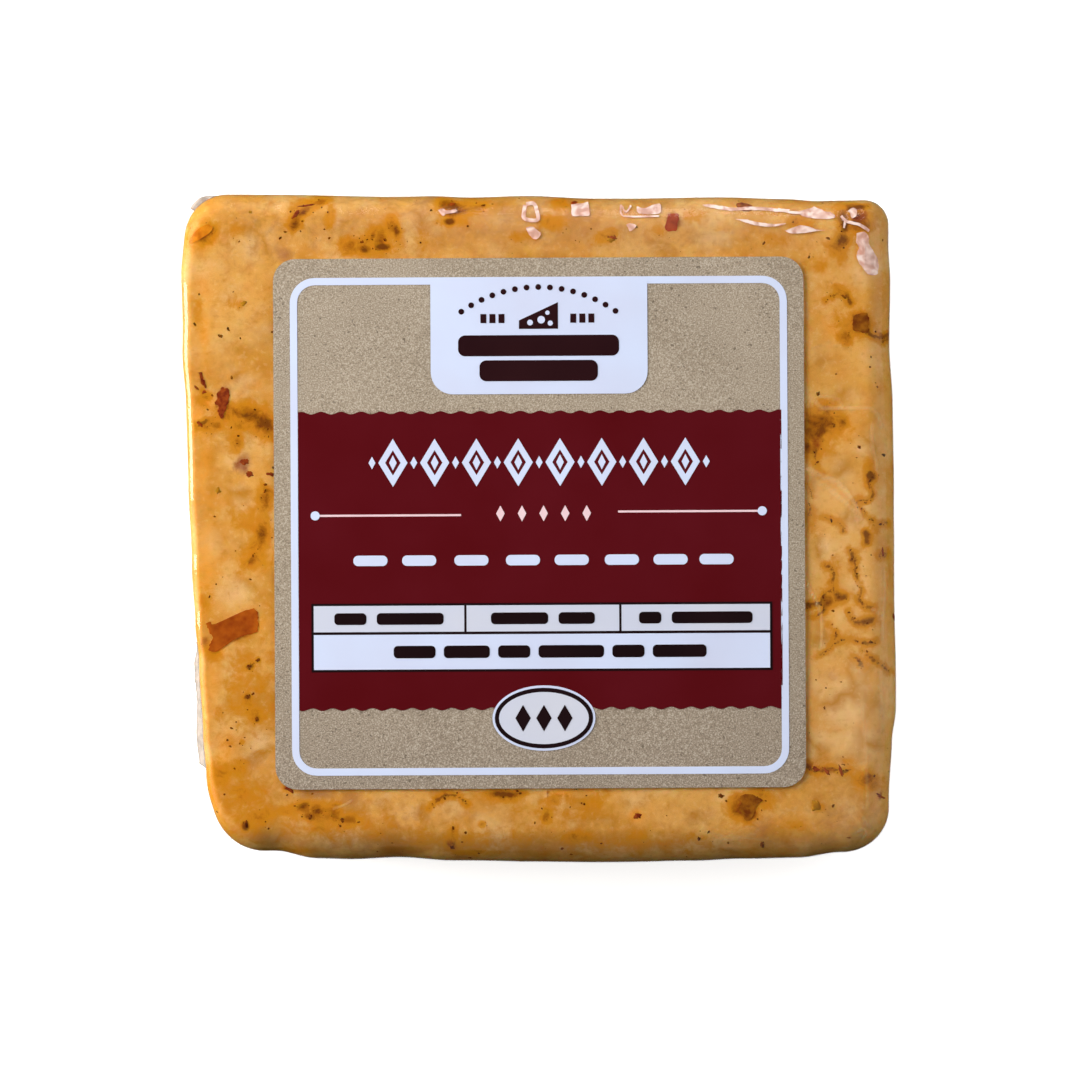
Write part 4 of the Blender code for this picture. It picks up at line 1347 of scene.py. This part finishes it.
# %% Flap, as in the solid
TAIL_FLARE = ((-36, 1.35), (-30, 1.45), (-24, 1.2), (-19.5, 1.2), (-17, 0.6), (-12, 0.3))
TAIL_ROOT_HEIGHT = 13.0 * MM
TAIL_EDGE_HEIGHT = 10.5 * MM
TAIL_ROOT_DEPTH = 0.5 * MM
FLAP_ENDS = (-36.0 * MM, -16.5 * MM)
FLAP_WALL = 0.12 * MM
FLAP_SLANT = 1.2 * MM


def left_wall(y, height):
    """Points of the wrapped block's left wall at places along it and at heights."""
    share_y = np.arcsin(np.clip(y / HALF_HEIGHT, -1, 1) * math.sin(QUARTER)) / QUARTER
    share_z = np.arcsin((2 * height / THICKNESS - 1) * math.sin(QUARTER)) / QUARTER
    return block_form(np.stack([np.full(len(y), -1.0), share_y, share_z], 1))


bm = bmesh.new()
bmesh.ops.create_grid(bm, x_segments=90, y_segments=6, size=1.0)
flap = new_piece("seal_flap", bm, seal_look)
grid = points_of(flap.data)
along_share, down = (grid[:, 0] + 1) / 2, (grid[:, 1] + 1) / 2
y = FLAP_ENDS[0] + (FLAP_ENDS[1] - FLAP_ENDS[0]) * along_share + FLAP_SLANT * down * (1 - along_share)
height = TAIL_ROOT_HEIGHT + (TAIL_EDGE_HEIGHT - TAIL_ROOT_HEIGHT) * down
stand_off = -TAIL_ROOT_DEPTH + (TAIL_ROOT_DEPTH + along(TAIL_FLARE, y)) * down
ripple = 0.12 * MM * (noise_at(grid * np.array([12, 1, 0]), 1.0, 3.7) - 0.5) * down
set_points(flap.data, left_wall(y, height) - np.stack([stand_off + ripple, y * 0, y * 0], 1))
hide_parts("sealed_pack")
solidify(flap, FLAP_WALL, 0.0)

# %% Ear at the upper left corner
EAR_OUTLINE = (
    (190.5, 209), (192.5, 205.5), (195.4, 202), (200.5, 198), (207.3, 196), (215, 195.8), (221.8, 197),
    (219, 202), (211, 205), (204, 209), (199, 213),
)
EAR_HEIGHT = 15.0 * MM
EAR_CURL = 0.5 * MM
EAR_WALL = 0.1 * MM

bm = bmesh.new()
bm.faces.new([bm.verts.new((px, py, 0)) for px, py in smooth_chain([*EAR_OUTLINE, EAR_OUTLINE[0]], 55)[:-1]])
middle = np.mean([vertex.co for vertex in bm.verts], axis=0)
bmesh.ops.poke(bm, faces=bm.faces[:])
bmesh.ops.subdivide_edges(bm, edges=bm.edges[:], cuts=2, use_grid_fill=True)
# Lower things look smaller, so an outline traced at this height is spread by the camera's distance
spread = (CAMERA_HEIGHT + LABEL_PLANE - EAR_HEIGHT) / CAMERA_HEIGHT
for vertex in bm.verts:
    x, y = from_photo(vertex.co.x, vertex.co.y)
    curl = EAR_CURL * noise.noise(Vector((vertex.co.x * 0.12, vertex.co.y * 0.12, 4.2)))
    vertex.co = (x * spread, y * spread, EAR_HEIGHT + curl)
bmesh.ops.recalc_face_normals(bm, faces=bm.faces[:])
ear = solidify(new_piece("seal_ear", bm, seal_look), EAR_WALL, 0.0)
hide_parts("sealed_pack")
print("sealed end made")

# %% [markdown]
# ## The label's paper
#
# The label is brown kraft with a satin varnish: unbleached paper whose fibres show as a fine
# light and dark grain, with broad soft clouds where the pulp lay thicker. It was stuck on after
# shrinking, so it follows the film's slow swells but not its small ones.

# %% Kraft paper material
kraft_look, tree = new_material("varnished_kraft_paper")
place = add_node(tree, "ShaderNodeTexCoord").outputs["Object"]
clouds = add_node(tree, "ShaderNodeTexNoise", {"Vector": place, "Scale": grain(11), "Detail": 4.0, "Roughness": 0.55})
fibres = add_node(tree, "ShaderNodeTexNoise", {"Vector": place, "Scale": grain(0.20), "Detail": 1.0, "Roughness": 0.7})
flecks = add_node(tree, "ShaderNodeTexNoise", {"Vector": place, "Scale": grain(0.45), "Detail": 0.0})
height_on_label = add_node(tree, "ShaderNodeSeparateXYZ", {"Vector": place}).outputs["Y"]
paper = blend_colour(tree, linear("A89A88"), linear("9E907E"), stretched(tree, clouds.outputs["Fac"], 0.35, 0.65))
paper = blend_colour(tree, paper, linear("B2A38F"), stretched(tree, clouds.outputs["Fac"], 0.62, 0.78), 0.7)
# Painted shade: the paper darkens towards its lower edge
paper = blend_colour(tree, paper, linear("84766A"), stretched(tree, height_on_label, -10 * MM, -36 * MM), 0.5)
paper = blend_colour(tree, paper, linear("D2C8BA"), stretched(tree, fibres.outputs["Fac"], 0.50, 0.72), 0.7)
paper = blend_colour(tree, paper, linear("6A5E50"), stretched(tree, fibres.outputs["Fac"], 0.48, 0.28), 0.65)
paper = blend_colour(tree, paper, linear("4E4134"), stretched(tree, flecks.outputs["Fac"], 0.74, 0.84), 0.6)
paper_bump = add_node(tree, "ShaderNodeBump", {"Height": fibres.outputs["Fac"], "Strength": 0.25, "Distance": 0.03 * MM})
sheet = add_node(tree, "ShaderNodeBsdfPrincipled", {
    "Base Color": paper, "Roughness": 0.6, "Normal": paper_bump.outputs["Normal"], "Specular IOR Level": 0.35,
})
add_node(tree, "ShaderNodeOutputMaterial", {"Surface": sheet.outputs[0]})


# %% Lay flat shapes on the label
# The print is drawn flat, in millimetres from the label's middle, and then laid on the film's swells
LABEL_LIFT = 0.05 * MM
PAPER_THICKNESS = 0.16 * MM
INK_THICKNESS = 0.02 * MM
LAYER_STEP = 0.03 * MM
DRAPE_STEP = 2.0


def lay_on_pack(bm, lift):
    """Cuts flat shapes along a grid, so that they can bend, and lays them at a lift over the film."""
    reach = LABEL_SIDE / MM / 2
    for axis in (Vector((1, 0, 0)), Vector((0, 1, 0))):
        place = -reach + DRAPE_STEP / 3
        while place < reach:
            geometry = bm.verts[:] + bm.edges[:] + bm.faces[:]
            bmesh.ops.bisect_plane(bm, geom=geometry, dist=1e-5, plane_co=axis * place, plane_no=axis)
            place += DRAPE_STEP
    flat = np.array([vertex.co[:2] for vertex in bm.verts]) * MM
    x = LABEL_CENTRE[0] + flat[:, 0] * math.cos(LABEL_TURN) - flat[:, 1] * math.sin(LABEL_TURN)
    y = LABEL_CENTRE[1] + flat[:, 0] * math.sin(LABEL_TURN) + flat[:, 1] * math.cos(LABEL_TURN)
    for vertex, place in zip(bm.verts, np.stack([x, y, front_height(x, y) + lift], 1).tolist()):
        vertex.co = place


def label_piece(name, bm, material, layer):
    """A printed shape on the paper; layer 0 is the paper itself."""
    lift = LABEL_LIFT + (PAPER_THICKNESS + LAYER_STEP * layer if layer else 0)
    lay_on_pack(bm, lift)
    piece = new_piece(name, bm, material, smooth=False)
    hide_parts("label")
    return solidify(piece, INK_THICKNESS if layer else PAPER_THICKNESS, 1.0)


def rectangle(bm, middle, size, corner=0.0, round_only=None):
    """Adds a flat rectangle; corners are rounded, all of them or those that a test picks."""
    made = bmesh.ops.create_grid(bm, x_segments=1, y_segments=1, size=0.5)["verts"]
    for vertex in made:
        vertex.co = (middle[0] + vertex.co.x * size[0], middle[1] + vertex.co.y * size[1], 0)
    if corner:
        turned = [vertex for vertex in made if round_only is None or round_only(vertex.co)]
        bmesh.ops.bevel(bm, geom=turned, offset=corner, affect="VERTICES", segments=8, profile=0.5, material=-1)


def disc(bm, middle, half_sizes, segments=24):
    """Adds a flat ellipse, or with four segments a lozenge."""
    made = bmesh.ops.create_circle(bm, cap_ends=True, segments=segments, radius=1.0)["verts"]
    for vertex in made:
        vertex.co = (middle[0] + vertex.co.x * half_sizes[0], middle[1] + vertex.co.y * half_sizes[1], 0)


def hollow(bm, width):
    """Turns each face of the bmesh into a ring of this width just inside its outline."""
    inner = bm.faces[:]
    bmesh.ops.inset_individual(bm, faces=inner, thickness=width, use_even_offset=True)
    bmesh.ops.delete(bm, geom=inner, context="FACES_ONLY")


# %% The label's sheet
bm = bmesh.new()
rectangle(bm, (0, 0), (LABEL_SIDE / MM, LABEL_SIDE / MM), LABEL_CORNER / MM)
label_piece("kraft_label", bm, kraft_look, 0)
print("label is", round(LABEL_SIDE / MM, 1), "mm square")


# %% [markdown]
# ## The label's print
#
# The print is inks on kraft under the same varnish: a white keyline with a white tab hanging
# from its top, a deep maroon band with a wavy edge, two fine rules that end in dots, and a
# block of white cells with dark outlines. Names and words are left off. Their places hold
# simple ornaments of the same colour and weight. Each ink is a thin plate of its own on the
# paper, so that every edge is crisp from any side.

# %% Ink materials
def ink(name, code, second_code, roughness=0.32):
    """Printed ink under varnish: a colour that wanders a little towards a second one."""
    look, ink_tree = new_material(name)
    spot = add_node(ink_tree, "ShaderNodeTexCoord").outputs["Object"]
    cloud = add_node(ink_tree, "ShaderNodeTexNoise", {"Vector": spot, "Scale": grain(14), "Detail": 3.0})
    tooth = add_node(ink_tree, "ShaderNodeTexNoise", {"Vector": spot, "Scale": grain(0.4), "Detail": 2.0})
    shade = blend_colour(ink_tree, linear(code), linear(second_code), stretched(ink_tree, cloud.outputs["Fac"], 0.3, 0.7))
    bump = add_node(ink_tree, "ShaderNodeBump", {"Height": tooth.outputs["Fac"], "Strength": 0.2, "Distance": 0.03 * MM})
    skin = add_node(ink_tree, "ShaderNodeBsdfPrincipled", {
        "Base Color": shade, "Roughness": roughness, "Normal": bump.outputs["Normal"], "Specular IOR Level": 0.25,
    })
    add_node(ink_tree, "ShaderNodeOutputMaterial", {"Surface": skin.outputs[0]})
    return look


white_ink = ink("opaque_white_ink", "D3E0FE", "D0D8F4")
grey_ink = ink("screened_white_ink", "CBD2E8", "D2D6E6")
maroon_ink = ink("deep_maroon_ink", "590E18", "540810")
black_ink = ink("near_black_ink", "160A0C", "1E0E12")
brown_ink = ink("dark_brown_ink", "240D12", "2C1216")
rose_ink = ink("thin_rose_ink", "F0D4DC", "E6C2CC")

# %% White keyline and tab
KEYLINE_MIDDLE = (0.0, -0.38)
KEYLINE_SIZE = (71.4, 71.5)
KEYLINE_CORNER = 3.6
KEYLINE_WIDTH = 1.05
TAB_SIZE = (31.15, 16.2)
TAB_CORNER = 3.2

bm = bmesh.new()
rectangle(bm, KEYLINE_MIDDLE, KEYLINE_SIZE, KEYLINE_CORNER)
hollow(bm, KEYLINE_WIDTH)
label_piece("white_keyline", bm, white_ink, 1)
tab_top = KEYLINE_MIDDLE[1] + KEYLINE_SIZE[1] / 2 - KEYLINE_WIDTH * 0.6
tab_middle = (0.07, tab_top - TAB_SIZE[1] / 2)
bm = bmesh.new()
rectangle(bm, tab_middle, TAB_SIZE, TAB_CORNER, lambda place: place.y < tab_middle[1])
label_piece("white_tab", bm, white_ink, 2)

# %% Maroon band with wavy edges
BAND_MIDDLE = (0.12, -5.34)
BAND_SIZE = (69.4, 42.6)
WAVE_PITCH = 2.86
WAVE_DEPTH = 0.2
WAVE_START = 0.45
POINTS_PER_WAVE = 10

bm = bmesh.new()
columns = round(BAND_SIZE[0] / WAVE_PITCH * POINTS_PER_WAVE)
for vertex in bmesh.ops.create_grid(bm, x_segments=columns, y_segments=1, size=0.5)["verts"]:
    across = (vertex.co.x + 0.5) * BAND_SIZE[0]
    wave = WAVE_DEPTH * math.cos((across - WAVE_START) / WAVE_PITCH * 2 * math.pi)
    edge = math.copysign(BAND_SIZE[1] / 2 + wave, vertex.co.y)
    vertex.co = (BAND_MIDDLE[0] - BAND_SIZE[0] / 2 + across, BAND_MIDDLE[1] + edge, 0)
label_piece("maroon_band", bm, maroon_ink, 1)
print("band has", round(BAND_SIZE[0] / WAVE_PITCH, 1), "waves on each edge")

# %% Rules with dots, and the ornaments on the band
RULE_WIDTH = 0.3
RULES = ((-32.2, -11.25, 1.2), (11.3, 32.0, 1.6))
DOT_RADIUS = 0.66
TITLE_HEIGHT = 6.9
TITLE_LINE = 8.75
TITLE_PITCH = 6.0
TITLE_COUNT = 8
TITLE_STROKE = 0.85
SUBTITLE_LINE = 1.4
SUBTITLE_PITCH = 3.1
DASH_LINE = -5.3
DASHES = (-24.3, -17.3, -9.8, -2.4, 4.6, 11.8, 18.8, 25.4)
DASH_SIZE = (4.9, 1.5)

bm = bmesh.new()
for start, end, height in RULES:
    rectangle(bm, ((start + end) / 2, height), (end - start, RULE_WIDTH))
label_piece("rose_rules", bm, rose_ink, 2)
bm = bmesh.new()
for start, end, height in RULES:
    disc(bm, (start if start < 0 else end, height), (DOT_RADIUS, DOT_RADIUS))
label_piece("rule_dots", bm, white_ink, 3)
bm = bmesh.new()
for index in range(TITLE_COUNT):
    disc(bm, ((index - (TITLE_COUNT - 1) / 2) * TITLE_PITCH, TITLE_LINE), (2.1, TITLE_HEIGHT / 2), 4)
hollow(bm, TITLE_STROKE)
for index in range(TITLE_COUNT):
    disc(bm, ((index - (TITLE_COUNT - 1) / 2) * TITLE_PITCH, TITLE_LINE), (0.55, 1.1), 4)
for index in range(TITLE_COUNT + 1):
    disc(bm, ((index - TITLE_COUNT / 2) * TITLE_PITCH, TITLE_LINE), (0.5, 0.9), 4)
label_piece("open_lozenges", bm, white_ink, 2)
bm = bmesh.new()
for index in range(-2, 3):
    disc(bm, (0.6 + index * SUBTITLE_PITCH, SUBTITLE_LINE), (0.62, 1.15), 4)
label_piece("small_lozenges", bm, rose_ink, 2)
bm = bmesh.new()
for middle in DASHES:
    rectangle(bm, (middle, DASH_LINE), DASH_SIZE, 0.7)
label_piece("white_dashes", bm, white_ink, 2)

# %% Cells with dark outlines
CELLS_LEFT = -32.65
CELLS_RIGHT = 33.2
CELL_ROWS = ((-11.6, -15.7), (-15.75, -21.1))
CELL_SPLITS = (-10.7, 11.55)
OUTLINE = 0.34
CELL_DASH_HEIGHT = 2.1


def cell_plate(bm, left, right, top, bottom, shrink):
    size = (right - left - 2 * shrink, top - bottom - 2 * shrink)
    rectangle(bm, ((left + right) / 2, (top + bottom) / 2), size)


(upper_top, upper_bottom), (lower_top, lower_bottom) = CELL_ROWS
bm = bmesh.new()
cell_plate(bm, CELLS_LEFT, CELLS_RIGHT, upper_top, lower_bottom, -OUTLINE / 2)
label_piece("cell_outlines", bm, black_ink, 2)
bm = bmesh.new()
walls = (CELLS_LEFT, *CELL_SPLITS, CELLS_RIGHT)
for left, right in zip(walls, walls[1:]):
    cell_plate(bm, left, right, upper_top, upper_bottom, OUTLINE / 2)
label_piece("upper_cells", bm, grey_ink, 3)
bm = bmesh.new()
cell_plate(bm, CELLS_LEFT, CELLS_RIGHT, lower_top, lower_bottom, OUTLINE / 2)
label_piece("lower_cell", bm, white_ink, 3)


def dash_row(bm, left, right, line, height, widths, gap):
    """Dashes of the widths given, spaced by the gap and centred between left and right."""
    total = sum(widths) + gap * (len(widths) - 1)
    place = (left + right - total) / 2
    for width in widths:
        rectangle(bm, (place + width / 2, line), (width, height), height / 3)
        place += width + gap


bm = bmesh.new()
upper_line = (upper_top + upper_bottom) / 2
lower_line = (lower_top + lower_bottom) / 2
for (left, right), widths in zip(zip(walls, walls[1:]), ((4.6, 9.6), (8.2, 5.2), (3.2, 11.6))):
    dash_row(bm, left, right, upper_line, CELL_DASH_HEIGHT * 0.8, widths, 1.5)
dash_row(bm, CELLS_LEFT, CELLS_RIGHT, lower_line, CELL_DASH_HEIGHT * 0.85, (6, 6.6, 4.6, 9.4, 4.6, 5.4), 1.2)
dash_row(bm, 11.6, 31.0, lower_line, CELL_DASH_HEIGHT * 0.85, (5.2,), 1.2)
label_piece("dark_dashes", bm, black_ink, 4)

# %% The tab's ornament: a wedge with holes over two bars
WEDGE_MIDDLE = (0.0, 29.8)
WEDGE_SIZE = (5.6, 3.8)
WEDGE_HOLES = ((-1.2, -1.0, 0.42), (0.4, -0.6, 0.55), (1.7, -1.1, 0.38), (1.3, 0.4, 0.32))
TAB_BARS = ((0.0, 25.5, 23.1, 3.0), (0.0, 21.9, 17.0, 3.0))
SIDE_TICKS = (-7.9, -6.6, -5.3, 5.0, 6.3, 7.6)
TICK_LINE = 29.4
TICK_SIZE = (0.85, 1.3)
DOT_ARC_RADIUS = 19.3
DOT_ARC_CENTRE = 14.6
DOT_ARC_COUNT = 15
DOT_ARC_REACH = math.radians(35)

bm = bmesh.new()
rectangle(bm, WEDGE_MIDDLE, WEDGE_SIZE)
for vertex in bm.verts:
    if vertex.co.x < WEDGE_MIDDLE[0] and vertex.co.y > WEDGE_MIDDLE[1]:
        vertex.co.y -= WEDGE_SIZE[1] * 0.68
for x, y, width, height in TAB_BARS:
    rectangle(bm, (x, y), (width, height), height / 3)
for x in SIDE_TICKS:
    rectangle(bm, (x, TICK_LINE), TICK_SIZE)
for index in range(DOT_ARC_COUNT):
    angle = DOT_ARC_REACH * (2 * index / (DOT_ARC_COUNT - 1) - 1)
    place = (DOT_ARC_RADIUS * math.sin(angle), DOT_ARC_CENTRE + DOT_ARC_RADIUS * math.cos(angle))
    disc(bm, place, (0.42, 0.42), 12)
label_piece("tab_ornament", bm, brown_ink, 3)
bm = bmesh.new()
for x, y, radius in WEDGE_HOLES:
    disc(bm, (WEDGE_MIDDLE[0] + x, WEDGE_MIDDLE[1] + y), (radius, radius), 16)
label_piece("wedge_holes", bm, white_ink, 4)

# %% The seal at the band's lower edge
SEAL_MIDDLE = (0.5, -28.0)
SEAL_HALF = (7.4, 4.7)

for name, material, shrink, layer in (
    ("seal_rim", white_ink, 0.0, 2), ("seal_plate", black_ink, 0.35, 3), ("seal_field", grey_ink, 0.95, 4),
):
    bm = bmesh.new()
    disc(bm, SEAL_MIDDLE, (SEAL_HALF[0] - shrink, SEAL_HALF[1] - shrink), 48)
    label_piece(name, bm, material, layer)
bm = bmesh.new()
for offset in (-3.0, 0.0, 3.0):
    disc(bm, (SEAL_MIDDLE[0] + offset, SEAL_MIDDLE[1]), (1.1, 1.9), 4)
label_piece("seal_lozenges", bm, black_ink, 5)
print("label pieces made")
